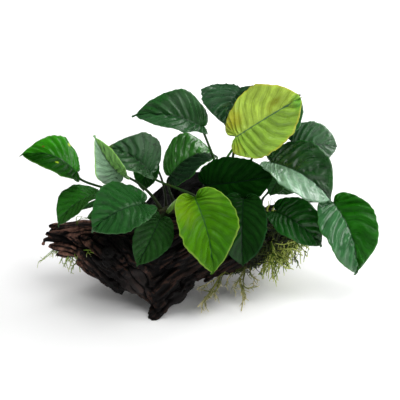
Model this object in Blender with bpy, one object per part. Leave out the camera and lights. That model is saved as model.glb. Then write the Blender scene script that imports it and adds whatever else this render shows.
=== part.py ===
"""Broad-leaved anubias grown onto a forked piece of dark driftwood, with moss and hanging roots.

Lengths below are in millimetres and turned into metres by MM when a mesh is made. +Z is up, -Y is
the front, and the wood stands on three flat-worn feet at z = 0.
"""
import math
from collections import namedtuple

import bmesh
import bpy
from mathutils import Matrix, Vector, noise

MM = 0.001
GAP = 0.3                   # clearance between pieces that touch, mm
SLIVER = 0.00001            # edges shorter than this, in metres, are closed up after a cut

# Where the frame's origin lies in the plant's own layout, so that the box is centred on it
LAYOUT_CENTRE_X = 1.2
LAYOUT_CENTRE_Y = -29.0

# Leaf blades
BLADE_THICK = 1.0           # thickness at the midrib, mm
BLADE_EDGE_THICK = 0.6      # thickness at the margin, mm
BLADE_ROWS = 9              # side veins from the sinus to the tip
BLADE_STEPS = 2             # faces from the midrib to the margin
BLADE_SMOOTH_ANGLE = 60.0   # a fold sharper than this shows as a crease, degrees
BLADE_FACING = Vector((0.0, -0.7, 0.7))     # the way an unturned blade faces, up and to the front
FAN_END = 0.30              # part of the margin that is reached by veins from the stalk's joint
VEIN_LEAN = 1.35            # above 1, side veins leave the midrib closer together near the stalk
RIPPLE_RUN = 21.0           # how far the margin's wave turns from the sinus to the tip, radians
RIPPLE_SHIFT = 1.3          # how much the two halves' waves differ, radians
TWIST_CENTRE = 0.4          # part of the length where a twisted blade lies in its own plane

# Half outline of a heart-shaped blade: (part of the length, part of the half width), sinus to tip
BLADE_OUTLINE = (
    (0.00, 0.00), (-0.11, 0.22), (-0.10, 0.55), (0.08, 0.88), (0.30, 1.00),
    (0.55, 0.86), (0.78, 0.52), (0.93, 0.18), (1.00, 0.00),
)

# Stalks
STALK_RADIUS_LOW = 1.45     # at the rhizome, mm
STALK_RADIUS_HIGH = 1.0     # under the blade, mm
STALK_JOINT = 1.8           # from a stalk's end to its blade's middle surface, mm
STALK_STAND_OFF = 1.0       # from the rhizome's skin to a stalk's foot, mm
STALK_TAPER = 1.6           # above 1, a stalk is down to its upper radius before its end
STALK_THIN = 0.6            # radius of the smallest blades' stalks against the full radius
STALK_FULL_BLADE = 45.0     # length of blade, in mm, from which a stalk has its full radius
ARRIVE_ALONG = 0.4          # how much a stalk's end points along its blade
ARRIVE_FACING = 0.85        # how much it points through its blade, from below
STALK_SIDES = 5
STALK_STEPS = 8

Leaf = namedtuple("Leaf", "name base tip half_width turn fold_left fold_right arch twist lobe cup "
                          "wave crown rise reach lift colour")

# base and tip in mm; half width, arch, cup and wave in mm; turn, folds and twist in degrees; lobe is
# the depth of the basal lobes against the common outline; crown is the place along the rhizome, from
# 0 to 1; rise and reach are how far the stalk goes on from its two ends, in mm; lift is how much
# more steeply than the blade's own facing it arrives
LEAVES = (
    Leaf("far_left", (-101, -47, 114), (-143, -56, 133), 20, 30, 6, 22, 9, -20, 0.6, 1, 0.8,
         0.09, (-12, 8, 16), 14, 0.25, "fresh"),
    Leaf("low_left", (-83, -57, 99), (-114, -76, 80), 17, 34, 16, 22, 6, -30, 0.6, 0, 0.8,
         0.05, (-12, -8, 14), 8, 0.25, "deep"),
    Leaf("upright", (-63, -45, 110), (-84, -50, 146), 16, -38, 50, 34, 7, 40, 0.8, 0, 0.6,
         0.16, (-8, 2, 18), 10, 0.25, "grey"),
    Leaf("upper_left", (-42, -38, 110), (-76, -36, 132), 24, 16, 30, 50, 7, -32, 1.0, 0, 1.0,
         0.46, (-6, -10, 14), 10, 0.25, "grey"),
    Leaf("front_left", (-46, -72, 97), (-85, -92, 83), 24, 15, 11, 20, 7, -20, 1.4, 0, 1.0,
         0.12, (-2, -14, 18), 10, 0.25, "mid"),
    Leaf("small_left", (-42, -19, 111), (-48, -29, 89), 11, 14, 8, 14, 3, 4, 1.4, 1, 0.5,
         0.22, (0, 12, 16), 8, 0.25, "deep"),
    Leaf("centre_left", (-26, -21, 99), (15, 0, 107), 20, -20, 38, 16, 14, -22, 0.4, 0, 0.8,
         0.28, (-3, 2, 10), 8, 0.25, "deep"),
    Leaf("centre_dark", (5, -46, 102), (60, -52, 113), 22, 40, 10, 4, 3, -20, 0.7, 2, 1.2,
         0.50, (0, -8, 12), 8, 0.25, "deep"),
    Leaf("front_centre", (-4, -74, 103), (10, -90, 44), 28, -25, 17, 15, 7, -8, 0.8, 1, 1.0,
         0.40, (0, -20, 16), 12, 0.25, "bright"),
    Leaf("front_dark", (35, -63, 98), (35, -72, 41), 20, 15, 8, 15, 4, -3, 0.6, 2, 1.0,
         0.70, (4, -26, 3), 10, 1.6, "deep"),
    Leaf("front_right", (63, -48, 79), (101, -60, 53), 19, -12, 20, 14, 6, 6, 0.8, 0, 1.0,
         0.92, (6, -14, 4), 8, 0.25, "mid"),
    Leaf("far_right", (110, -50, 88), (130, -66, 30), 26, -29, 25, 3, 9, -4, 0.7, 2, 1.2,
         1.00, (18, -6, 8), 20, 0.25, "mid"),
    Leaf("back_right", (78, -8, 125), (118, 0, 118), 18, 26, 4, 14, 4, -12, 1.0, 1, 0.8,
         0.90, (4, 8, 20), 14, 0.25, "grey"),
    Leaf("grey_right", (58, -38, 119), (107, -55, 92), 25, -18, 28, 18, 9, 26, 0.9, 1, 1.2,
         0.85, (0, -8, 20), 12, 0.25, "grey"),
    Leaf("yellow_top", (29, -50, 146), (79, -60, 183), 26, -3, 9, 8, 1, 14, 0.9, 2, 1.5,
         0.56, (-2, -6, 30), 18, 0.25, "yellow"),
    Leaf("top_back", (34, 4, 168), (21, -24, 146), 27, 23, 14, 15, 5, 0, 0.8, 1, 1.0,
         0.70, (0, 20, 40), 18, 0.25, "grey"),
    Leaf("behind_yellow", (52, -20, 136), (83, -5, 166), 22, -9, 14, 17, 5, 20, 0.8, 1, 1.0,
         0.78, (0, 4, 26), 12, 0.25, "deep"),
    Leaf("top_left", (2, -15, 141), (-54, -22, 154), 20, 8, 30, 34, 9, -14, 0.6, 0, 1.0,
         0.62, (2, -4, 26), 16, 0.25, "deep"),
    Leaf("little_left", (-74, -36, 82), (-101, -45, 78), 9, 50, 10, 10, 2, 3, 0.8, 1, 0.4,
         0.04, (-6, 8, 2), 6, 0.25, "deep"),
    Leaf("little_low", (-80, -38, 74), (-95, -42, 70), 7, -40, 14, 14, 2, 2, 0.8, 1, 0.4,
         0.00, (-10, 0, 2), 6, 0.25, "fresh"),
    Leaf("under_grey", (69, -22, 100), (59, -30, 85), 8, 10, 11, 11, 1, -3, 0.8, 1, 0.4,
         0.81, (4, 6, 10), 8, 0.25, "fresh"),
    Leaf("above_right", (62, -6, 81), (88, -8, 80), 9, -22, 13, 12, 2, 6, 0.8, 1, 0.4,
         0.96, (2, 8, 4), 6, 0.25, "deep"),
    Leaf("low_front", (-32, -76, 86), (-50, -95, 54), 16, -21, 14, 22, 2, 15, 0.8, 1, 0.8,
         0.17, (-2, -16, 5), 8, 0.25, "deep"),
)

# Rhizome: the creeping stem on top of the wood
RHIZOME_PATH = ((-46, -46, 70), (-24, -38, 75), (4, -31, 78), (30, -27, 75), (57, -21, 67))
RHIZOME_RADIUS = 4.6
RHIZOME_END = 0.75          # radius of its two ends against the rest
RHIZOME_SIDES = 8
RHIZOME_STEPS = 10
CROWN_STEP = 0.02           # part of the rhizome over which its direction is taken

# Young rolled leaf: a slim spindle that stands on the rhizome
YOUNG_LEAF_PATH = ((-27, -46, 77), (-23, -51, 85), (-17, -59, 97))
YOUNG_LEAF_RADII = (1.5, 2.2, 0.5)
YOUNG_LEAF_SIDES = 6
YOUNG_LEAF_STEPS = 8

# Driftwood: each limb is a row of (x, y, z, half depth, half height) stations, in mm
Station = namedtuple("Station", "x y z half_depth half_height")
TRUNK = (
    Station(-72, -48, 40, 12, 12), Station(-62, -49, 39, 23, 22), Station(-44, -48, 40, 27, 27),
    Station(-20, -43, 42, 29, 29), Station(4, -37, 45, 25, 27), Station(15, -34, 46, 18, 19),
    Station(24, -32, 46, 9, 9),
)
FRONT_FOOT = (
    Station(-28, -46, 34, 30, 16), Station(-33, -59, 29, 34, 15), Station(-34, -68, 23, 30, 13),
    Station(-32, -76, 16, 20, 11), Station(-33, -82, 7, 9, 7), Station(-36, -85, -4, 6, 6),
)
LEFT_LIMB = (
    Station(-130, -40, 53, 6, 5), Station(-119, -38, 52, 12, 10), Station(-100, -39, 48, 18, 16),
    Station(-83, -45, 42, 24, 21), Station(-66, -49, 39, 27, 27), Station(-50, -49, 39, 20, 20),
)
RIGHT_LIMB = (
    Station(-8, -37, 46, 14, 14), Station(6, -36, 46, 28, 29), Station(28, -31, 46, 26, 27),
    Station(46, -25, 48, 22, 21), Station(62, -20, 47, 18, 17), Station(74, -17, 46, 14, 13),
    Station(85, -14, 46, 8, 8),
)
UPPER_ARM = (
    Station(-46, -28, 42, 14, 14), Station(-38, -4, 54, 14, 13), Station(-20, 15, 66, 12, 12),
    Station(4, 26, 72, 10, 10), Station(26, 32, 76, 6, 6),
)
REAR_ROOT_LEFT = (
    Station(-68, -38, 42, 18, 17), Station(-76, -14, 32, 16, 14), Station(-83, 6, 17, 12, 10),
    Station(-85, 20, 5, 10, 8), Station(-89, 30, -6, 8, 7),
)
REAR_ROOT_RIGHT = (
    Station(38, -22, 47, 18, 18), Station(48, 0, 37, 17, 15), Station(56, 18, 20, 13, 11),
    Station(64, 32, 6, 10, 9), Station(71, 41, -6, 8, 8),
)

# Moss and hanging roots, each a plain form that reaches its own tips
MOSS_LEFT = (
    Station(-137, -46, 40, 5, 6), Station(-124, -46, 36, 10, 10), Station(-112, -48, 31, 10, 9),
    Station(-103, -50, 27, 5, 5),
)
MOSS_RIGHT = (
    Station(46, -27, 40, 24, 19), Station(60, -23, 39, 25, 20), Station(76, -19, 39, 22, 20),
    Station(91, -16, 40, 11, 13),
)
MOSS_FRINGE = (
    Station(78, -26, 26, 12, 9), Station(81, -27, 15, 8, 7), Station(82, -27, 5, 3, 3),
)
ROOTS_CENTRE = (
    Station(25, -52, 26, 7, 5), Station(16, -62, 18, 10, 5), Station(7, -73, 9, 9, 4),
    Station(3, -81, 3, 4, 2),
)
ROOTS_RIGHT = (
    Station(40, -46, 30, 6, 5), Station(39, -58, 18, 10, 5), Station(36, -69, 9, 7, 4),
    Station(34, -78, 3, 4, 2),
)

WOOD_JOINT = 0.5            # clearance along a fork's joint, mm
WOOD_RIDGE = 0.208          # height of the long ridges against the radius
WOOD_LUMP = 0.117           # height of the broad lumps against the radius
RIDGE_SPACING = 1.37        # noise distance from one ridge line to the next
RIDGE_RUN = 0.55            # noise distance along a ridge line, for one step of s
LUMP_SPACING = 0.45         # the same for the lumps
LUMP_RUN = 1.1
LIMB_RUN = 6.0              # steps of s from a limb's start to its end
LIMB_SQUARE = 2.6           # exponent of a limb's section: 2 is an ellipse, more is squarer
SPLINTER = 6.0              # how far single ridges stick out at a broken end, mm
SPLINTER_SPACING = 2.3      # noise distance from one splinter to the next
HUB_RECESS = 3.0            # how far the middle of a limb's end lies inside its rim, mm
UPRIGHT = 0.2               # a limb steeper than this takes +X as its side direction
SMOOTH_ANGLE = 40.0         # edges sharper than this stay creased, degrees

COLOURS = {
    "fresh": (0.030, 0.150, 0.008, 1.0),
    "mid": (0.020, 0.110, 0.010, 1.0),
    "deep": (0.010, 0.060, 0.010, 1.0),
    "grey": (0.030, 0.080, 0.045, 1.0),
    "bright": (0.110, 0.300, 0.010, 1.0),
    "yellow": (0.400, 0.560, 0.060, 1.0),
    "stalk": (0.060, 0.180, 0.015, 1.0),
    "rhizome": (0.060, 0.110, 0.020, 1.0),
    "wood": (0.014, 0.008, 0.006, 1.0),
    "moss": (0.160, 0.210, 0.020, 1.0),
    "root": (0.300, 0.260, 0.090, 1.0),
}


def clear_scene():
    for item in list(bpy.data.objects):
        bpy.data.objects.remove(item, do_unlink=True)


def make_material(name, colour, roughness):
    """A Principled material in one colour, made once for each name."""
    material = bpy.data.materials.get(name)
    if material is None:
        material = bpy.data.materials.new(name)
        material.use_nodes = True
        shader = material.node_tree.nodes["Principled BSDF"]
        shader.inputs["Base Color"].default_value = colour
        shader.inputs["Roughness"].default_value = roughness
        shader.inputs["Metallic"].default_value = 0.0
    return material


def add_object(name, bm, material, smooth_angle=SMOOTH_ANGLE):
    """Turn a bmesh in millimetres into a shaded object in metres."""
    shift = Matrix.Translation((-LAYOUT_CENTRE_X, -LAYOUT_CENTRE_Y, 0.0))
    bmesh.ops.transform(bm, matrix=Matrix.Scale(MM, 4) @ shift, verts=bm.verts)
    mesh = bpy.data.meshes.new(name)
    bm.to_mesh(mesh)
    bm.free()
    mesh.shade_smooth()
    mesh.set_sharp_from_angle(angle=math.radians(smooth_angle))
    mesh.materials.append(material)
    item = bpy.data.objects.new(name, mesh)
    bpy.context.scene.collection.objects.link(item)
    return item


def smooth_point(points, t):
    """Point at t from 0 to 1 on a Catmull-Rom curve through the points."""
    last = len(points) - 1
    place = min(max(t, 0.0), 1.0) * last
    i = min(int(place), last - 1)
    f = place - i
    b, c = points[i], points[i + 1]
    a = points[i - 1] if i > 0 else b * 2 - c
    d = points[i + 2] if i + 2 <= last else c * 2 - b
    return 0.5 * (b * 2 + (c - a) * f + (a * 2 - b * 5 + c * 4 - d) * f ** 2
                  + (b * 3 - a - c * 3 + d) * f ** 3)


def smooth_step(value):
    value = min(max(value, 0.0), 1.0)
    return value * value * (3 - 2 * value)


# Leaf blades

OUTLINE_POINTS = [Vector((along, across, 0.0)) for along, across in BLADE_OUTLINE]


def blade_margin(leaf, t):
    """Margin point at t, from the sinus to the tip, as parts of the length and of the half width."""
    point = smooth_point(OUTLINE_POINTS, t)
    along = point.x * leaf.lobe if point.x < 0 else point.x
    return along, max(point.y, 0.0)


def vein_root(t):
    """Place on the midrib where the vein that reaches the margin at t begins."""
    return max(0.0, (t - FAN_END) / (1 - FAN_END)) ** VEIN_LEAN


def blade_frame(leaf):
    """Length, axis, facing and right-hand side of a blade."""
    base, tip = Vector(leaf.base), Vector(leaf.tip)
    axis = (tip - base).normalized()
    facing = (BLADE_FACING - axis * BLADE_FACING.dot(axis)).normalized()
    facing = Matrix.Rotation(math.radians(leaf.turn), 3, axis) @ facing
    return (tip - base).length, axis, facing, axis.cross(facing)


def blade_point(leaf, along, across, side, t=0.5):
    """A point of the middle surface; side is 1 on the right half and -1 on the left."""
    length, axis, facing, right = blade_frame(leaf)
    fold = math.radians(leaf.fold_right if side > 0 else leaf.fold_left)
    turn = math.radians(leaf.twist) * (along - TWIST_CENTRE)
    up = facing * math.cos(turn) + right * math.sin(turn)
    out = right * math.cos(turn) - facing * math.sin(turn)
    bow = 4 * leaf.arch * along * ((1 - along) if along > 0 else 1.0)
    reach = leaf.half_width * across
    ripple = leaf.wave * math.sin(t * RIPPLE_RUN + side * RIPPLE_SHIFT + leaf.half_width) * across ** 3
    rise = reach * math.sin(fold) - leaf.cup * across ** 2 + ripple
    return (Vector(leaf.base) + axis * (length * along) + facing * bow
            + out * (side * reach * math.cos(fold)) + up * rise)


def build_blade(leaf):
    """A thin heart-shaped solid, with its faces along the side veins."""
    mid = []            # middle-surface points
    where = []          # how far across each point lies
    index = {}

    def vertex(row, step, side):
        if step == 0:
            key = ("rib", round(vein_root(row / BLADE_ROWS), 6))
        elif row in (0, BLADE_ROWS):
            key = ("rib", vein_root(row / BLADE_ROWS))
        else:
            key = (row, step, side)
        if key not in index:
            t = row / BLADE_ROWS
            margin_along, margin_across = blade_margin(leaf, t)
            part = 0.0 if key[0] == "rib" else step / BLADE_STEPS
            along = vein_root(t) + (margin_along - vein_root(t)) * part
            index[key] = len(mid)
            mid.append(blade_point(leaf, along, margin_across * part, side, t))
            where.append(part)
        return index[key]

    faces = []
    rim = []
    for side in (1, -1):
        for row in range(BLADE_ROWS):
            for step in range(BLADE_STEPS):
                corners = [vertex(row, step, side), vertex(row, step + 1, side),
                           vertex(row + 1, step + 1, side), vertex(row + 1, step, side)]
                corners = list(dict.fromkeys(corners))
                if len(corners) < 3:
                    continue
                faces.append(corners if side > 0 else corners[::-1])
            edge = [vertex(row, BLADE_STEPS, side), vertex(row + 1, BLADE_STEPS, side)]
            rim.append(edge if side > 0 else edge[::-1])

    sheet = bmesh.new()
    verts = [sheet.verts.new(point) for point in mid]
    for corners in faces:
        sheet.faces.new([verts[i] for i in corners])
    bmesh.ops.triangulate(sheet, faces=sheet.faces)
    sheet.normal_update()
    facing = blade_frame(leaf)[2]
    flip = 1.0 if sum(face.normal.dot(facing) * face.calc_area() for face in sheet.faces) > 0 else -1.0
    normals = [vert.normal * flip for vert in verts]
    sheet.verts.index_update()
    triangles = [[vert.index for vert in face.verts] for face in sheet.faces]
    sheet.free()

    bm = bmesh.new()
    top, under = [], []
    for point, normal, part in zip(mid, normals, where):
        half = 0.5 * (BLADE_THICK + (BLADE_EDGE_THICK - BLADE_THICK) * part)
        top.append(bm.verts.new(point + normal * half))
        under.append(bm.verts.new(point - normal * half))
    for a, b, c in triangles:
        bm.faces.new((top[a], top[b], top[c]) if flip > 0 else (top[c], top[b], top[a]))
        bm.faces.new((under[c], under[b], under[a]) if flip > 0 else (under[a], under[b], under[c]))
    for a, b in rim:
        bm.faces.new((top[b], top[a], under[a], under[b]))
    bmesh.ops.recalc_face_normals(bm, faces=bm.faces)
    return bm


# Tubes: stalks, rhizome, young leaf

def tube_frames(points):
    """Tangents and steady side vectors along a row of points."""
    tangents = []
    for i, point in enumerate(points):
        before = points[max(i - 1, 0)]
        after = points[min(i + 1, len(points) - 1)]
        tangents.append((after - before).normalized())
    side = tangents[0].orthogonal().normalized()
    frames = []
    for tangent in tangents:
        side = (side - tangent * side.dot(tangent)).normalized()
        frames.append((tangent, side, tangent.cross(side)))
    return frames


def build_tube(points, radii, sides):
    """A closed tube with flat ends through the points."""
    bm = bmesh.new()
    rings = []
    for point, radius, (_, side, over) in zip(points, radii, tube_frames(points)):
        ring = []
        for k in range(sides):
            angle = math.tau * k / sides
            ring.append(bm.verts.new(point + (side * math.cos(angle) + over * math.sin(angle)) * radius))
        rings.append(ring)
    for low, high in zip(rings, rings[1:]):
        for k in range(sides):
            n = (k + 1) % sides
            bm.faces.new((low[k], low[n], high[n], high[k]))
    bm.faces.new(rings[0][::-1])
    bm.faces.new(rings[-1])
    bmesh.ops.recalc_face_normals(bm, faces=bm.faces)
    return bm


def bezier_point(a, b, c, d, t):
    s = 1 - t
    return a * s ** 3 + b * (3 * s * s * t) + c * (3 * s * t * t) + d * t ** 3


RHIZOME_POINTS = [Vector(point) for point in RHIZOME_PATH]


def stalk_points(leaf):
    """Centre line of a stalk, from the rhizome's skin to just short of the blade's joint."""
    _, axis, facing, _ = blade_frame(leaf)
    root = smooth_point(RHIZOME_POINTS, leaf.crown)
    rise = Vector(leaf.rise)
    along = (smooth_point(RHIZOME_POINTS, min(leaf.crown + CROWN_STEP, 1.0))
             - smooth_point(RHIZOME_POINTS, max(leaf.crown - CROWN_STEP, 0.0))).normalized()
    out = (rise - along * rise.dot(along)).normalized()
    start = root + out * (RHIZOME_RADIUS + STALK_STAND_OFF)
    arrive = (axis * ARRIVE_ALONG + facing * ARRIVE_FACING + Vector((0, 0, leaf.lift))).normalized()
    end = Vector(leaf.base) - arrive * STALK_JOINT
    return [bezier_point(start, start + rise, end - arrive * leaf.reach, end, i / STALK_STEPS)
            for i in range(STALK_STEPS + 1)]


def build_stalk(leaf):
    size = min((Vector(leaf.tip) - Vector(leaf.base)).length / STALK_FULL_BLADE, 1.0)
    scale = STALK_THIN + (1.0 - STALK_THIN) * size
    radii = [scale * (STALK_RADIUS_LOW + (STALK_RADIUS_HIGH - STALK_RADIUS_LOW)
                      * smooth_step(i / STALK_STEPS * STALK_TAPER)) for i in range(STALK_STEPS + 1)]
    return build_tube(stalk_points(leaf), radii, STALK_SIDES)


# Driftwood

def wood_radius(seed, k, s):
    """Height of ridge line k at place s along a limb, against the plain radius."""
    ridge = noise.noise(Vector((k * RIDGE_SPACING + seed * 7.1, s * RIDGE_RUN, seed * 3.3)))
    lump = noise.noise(Vector((k * LUMP_SPACING + seed, s * LUMP_RUN, 4.2)))
    return 1.0 + WOOD_RIDGE * ridge + WOOD_LUMP * lump


def build_limb(stations, sides, steps, seed, grow=0.0, broken_start=False, broken_end=False):
    """A ridged, slightly square limb through its stations; grow adds clearance all round."""
    points = [Vector((s.x, s.y, s.z)) for s in stations]
    sizes = [Vector((s.half_depth, s.half_height, 0.0)) for s in stations]
    centres = [smooth_point(points, i / steps) for i in range(steps + 1)]
    bm = bmesh.new()
    rings = []
    for i, centre in enumerate(centres):
        before, after = centres[max(i - 1, 0)], centres[min(i + 1, steps)]
        tangent = (after - before).normalized()
        side = tangent.cross(Vector((0, 0, 1)))
        if side.length < UPRIGHT:
            side = Vector((1, 0, 0))
        side.normalize()
        over = side.cross(tangent).normalized()
        size = smooth_point(sizes, i / steps)
        ring = []
        for k in range(sides):
            angle = math.tau * k / sides
            c, s = math.cos(angle), math.sin(angle)
            square = (abs(c) ** LIMB_SQUARE + abs(s) ** LIMB_SQUARE) ** (-1 / LIMB_SQUARE)
            factor = square * wood_radius(seed, k, i * LIMB_RUN / steps)
            reach = Vector((c * (size.x * factor + grow), s * (size.y * factor + grow), 0))
            point = centre + side * reach.x + over * reach.y
            outward = -tangent if i == 0 else tangent
            if (i == 0 and broken_start) or (i == steps and broken_end):
                splinter = noise.noise(Vector((k * SPLINTER_SPACING, seed * 1.7, 9.1)))
                point += outward * SPLINTER * splinter
            if i in (0, steps):
                point += outward * grow
            ring.append(bm.verts.new(point))
        rings.append(ring)
    for low, high in zip(rings, rings[1:]):
        for k in range(sides):
            n = (k + 1) % sides
            bm.faces.new((low[k], low[n], high[n], high[k]))
    for ring, neighbour in ((rings[0], 1), (rings[-1], steps - 1)):
        hub = sum((vert.co for vert in ring), Vector()) / sides
        inward = (centres[neighbour] - hub).normalized()
        centre_vert = bm.verts.new(hub + inward * HUB_RECESS)
        for k in range(sides):
            bm.faces.new((ring[k], ring[(k + 1) % sides], centre_vert))
    bmesh.ops.triangulate(bm, faces=bm.faces)
    bmesh.ops.recalc_face_normals(bm, faces=bm.faces)
    return bm


def cut_flat(bm, height=0.0):
    """Take away what lies under a level plane and close the cut with a flat face."""
    geometry = bm.verts[:] + bm.edges[:] + bm.faces[:]
    cut = bmesh.ops.bisect_plane(bm, geom=geometry, plane_co=(0, 0, height), plane_no=(0, 0, 1),
                                 clear_inner=True)
    edges = [item for item in cut["geom_cut"] if isinstance(item, bmesh.types.BMEdge)]
    bmesh.ops.contextual_create(bm, geom=edges)
    bmesh.ops.recalc_face_normals(bm, faces=bm.faces)
    return bm


def keep_largest(mesh):
    """Drop loose chips that a cut left behind."""
    bm = bmesh.new()
    bm.from_mesh(mesh)
    left = set(bm.verts)
    islands = []
    while left:
        stack = [left.pop()]
        island = set(stack)
        while stack:
            for edge in stack.pop().link_edges:
                for vert in edge.verts:
                    if vert in left:
                        left.discard(vert)
                        island.add(vert)
                        stack.append(vert)
        islands.append(island)
    islands.sort(key=len)
    for island in islands[:-1]:
        bmesh.ops.delete(bm, geom=list(island), context="VERTS")
    bmesh.ops.dissolve_degenerate(bm, dist=SLIVER, edges=bm.edges)
    bmesh.ops.triangulate(bm, faces=bm.faces)
    bm.to_mesh(mesh)
    bm.free()


def subtract(item, cutter_meshes):
    """Cut each cutter out of an object for good."""
    for bm in cutter_meshes:
        cutter = add_object("cutter", bm, item.data.materials[0])
        modifier = item.modifiers.new("cut", "BOOLEAN")
        modifier.operation = "DIFFERENCE"
        modifier.object = cutter
        bpy.context.view_layer.update()
        ready = item.evaluated_get(bpy.context.evaluated_depsgraph_get())
        mesh = bpy.data.meshes.new_from_object(ready)
        item.modifiers.clear()
        bpy.data.objects.remove(cutter, do_unlink=True)
        keep_largest(mesh)
        mesh.name = item.name
        item.data = mesh
    item.data.shade_smooth()
    item.data.set_sharp_from_angle(angle=math.radians(SMOOTH_ANGLE))
    return item


GROWTHS = {
    "moss_left": dict(stations=MOSS_LEFT, sides=10, steps=6, seed=11),
    "moss_right": dict(stations=MOSS_RIGHT, sides=14, steps=6, seed=12),
    "moss_fringe_right": dict(stations=MOSS_FRINGE, sides=8, steps=4, seed=13),
    "roots_centre": dict(stations=ROOTS_CENTRE, sides=8, steps=5, seed=14),
    "roots_right": dict(stations=ROOTS_RIGHT, sides=8, steps=5, seed=15),
}

LIMBS = {
    "wood_trunk": dict(stations=TRUNK, sides=18, steps=9, seed=1),
    "wood_left_limb": dict(stations=LEFT_LIMB, sides=18, steps=10, seed=2, broken_start=True),
    "wood_right_limb": dict(stations=RIGHT_LIMB, sides=16, steps=8, seed=3, broken_end=True),
    "wood_front_foot": dict(stations=FRONT_FOOT, sides=16, steps=8, seed=7),
    "wood_upper_arm": dict(stations=UPPER_ARM, sides=12, steps=8, seed=4, broken_end=True),
    "wood_rear_root_left": dict(stations=REAR_ROOT_LEFT, sides=10, steps=6, seed=5),
    "wood_rear_root_right": dict(stations=REAR_ROOT_RIGHT, sides=10, steps=6, seed=6),
}


def limb_mesh(name, grow=0.0):
    bm = build_limb(grow=grow, **LIMBS[name])
    lowest = min(vert.co.z for vert in bm.verts)
    return cut_flat(bm, -grow) if lowest < -grow else bm


def build_wood():
    """Each limb gives way to the ones before it, as a cut along the joint."""
    material = make_material("wood", COLOURS["wood"], 0.75)
    for i, name in enumerate(LIMBS):
        item = add_object(name, limb_mesh(name), material)
        subtract(item, [limb_mesh(other, WOOD_JOINT) for other in list(LIMBS)[:i]])


def build_plant():
    rhizome_points = [smooth_point(RHIZOME_POINTS, i / RHIZOME_STEPS) for i in range(RHIZOME_STEPS + 1)]
    radii = [RHIZOME_RADIUS * (RHIZOME_END if i in (0, RHIZOME_STEPS) else 1.0)
             for i in range(RHIZOME_STEPS + 1)]
    bm = build_tube(rhizome_points, radii, RHIZOME_SIDES)
    rhizome = add_object("rhizome", bm, make_material("rhizome", COLOURS["rhizome"], 0.6))
    subtract(rhizome, [limb_mesh(name, GAP) for name in ("wood_trunk", "wood_left_limb", "wood_right_limb")])
    for leaf in LEAVES:
        blade = make_material("leaf_" + leaf.colour, COLOURS[leaf.colour], 0.35)
        add_object("leaf_" + leaf.name, build_blade(leaf), blade, BLADE_SMOOTH_ANGLE)
        add_object("stalk_" + leaf.name, build_stalk(leaf), make_material("stalk", COLOURS["stalk"], 0.45))


def build_young_leaf():
    points = [Vector(point) for point in YOUNG_LEAF_PATH]
    radii = [Vector((radius, 0, 0)) for radius in YOUNG_LEAF_RADII]
    places = [i / YOUNG_LEAF_STEPS for i in range(YOUNG_LEAF_STEPS + 1)]
    bm = build_tube([smooth_point(points, t) for t in places],
                    [smooth_point(radii, t).x for t in places], YOUNG_LEAF_SIDES)
    add_object("young_leaf", bm, make_material("leaf_fresh", COLOURS["fresh"], 0.35))


def build_growths():
    """Moss and roots grip the wood, so each is cut away where a limb passes through it."""
    for name, shape in GROWTHS.items():
        colour = "moss" if name.startswith("moss") else "root"
        item = add_object(name, build_limb(**shape), make_material(colour, COLOURS[colour], 0.9))
        cutters = [limb_mesh(limb, GAP) for limb in LIMBS]
        if name == "moss_fringe_right":
            cutters.append(build_limb(grow=GAP, **GROWTHS["moss_right"]))
        subtract(item, cutters)


def main():
    clear_scene()
    build_wood()
    build_plant()
    build_young_leaf()
    build_growths()


main()
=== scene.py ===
import math
import random

import bpy
import numpy as np
from mathutils import Matrix, Vector
from mathutils.bvhtree import BVHTree


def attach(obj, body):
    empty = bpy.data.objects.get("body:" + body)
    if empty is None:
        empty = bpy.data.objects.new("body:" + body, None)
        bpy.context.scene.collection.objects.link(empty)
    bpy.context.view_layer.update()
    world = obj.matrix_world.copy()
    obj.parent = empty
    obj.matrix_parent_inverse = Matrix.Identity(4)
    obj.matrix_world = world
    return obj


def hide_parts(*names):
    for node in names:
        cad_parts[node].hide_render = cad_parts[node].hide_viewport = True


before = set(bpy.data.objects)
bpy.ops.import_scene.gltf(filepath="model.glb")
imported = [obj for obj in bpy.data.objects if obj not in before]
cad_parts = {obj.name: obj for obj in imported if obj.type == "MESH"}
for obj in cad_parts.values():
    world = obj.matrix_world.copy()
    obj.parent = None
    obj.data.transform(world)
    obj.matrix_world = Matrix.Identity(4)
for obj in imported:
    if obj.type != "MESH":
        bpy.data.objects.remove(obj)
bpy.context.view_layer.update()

# Lengths are in millimetres of the plant's own layout; toFrame turns them into the frame's metres
mm = 0.001
layoutCentre = np.array([1.2, -29.0, 0.0])


def toFrame(points):
    return (np.asarray(points, float) - layoutCentre) * mm


def unit(vectors):
    vectors = np.asarray(vectors, float)
    size = np.linalg.norm(vectors, axis=-1, keepdims=True)
    return vectors / np.maximum(size, 1e-12)


def easeStep(low, high, value):
    part = np.clip((value - low) / (high - low), 0.0, 1.0)
    return part * part * (3.0 - 2.0 * part)


def curveAt(points, t):
    # smooth curve through the points, read at each t from 0 to 1
    points = np.asarray(points, float)
    last = len(points) - 1
    place = np.clip(t, 0.0, 1.0) * last
    i = np.minimum(place.astype(int), last - 1)
    f = (place - i)[:, None]
    more = np.vstack([2 * points[0] - points[1], points, 2 * points[-1] - points[-2]])
    a, b, c, d = more[i], more[i + 1], more[i + 2], more[i + 3]
    return 0.5 * (2 * b + (c - a) * f + (2 * a - 5 * b + 4 * c - d) * f ** 2
                  + (3 * b - a - 3 * c + d) * f ** 3)


def lengthAlong(line):
    # the distance from the line's start to each of its points
    return np.concatenate([[0.0], np.cumsum(np.linalg.norm(np.diff(line, axis=0), axis=1))])


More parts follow.
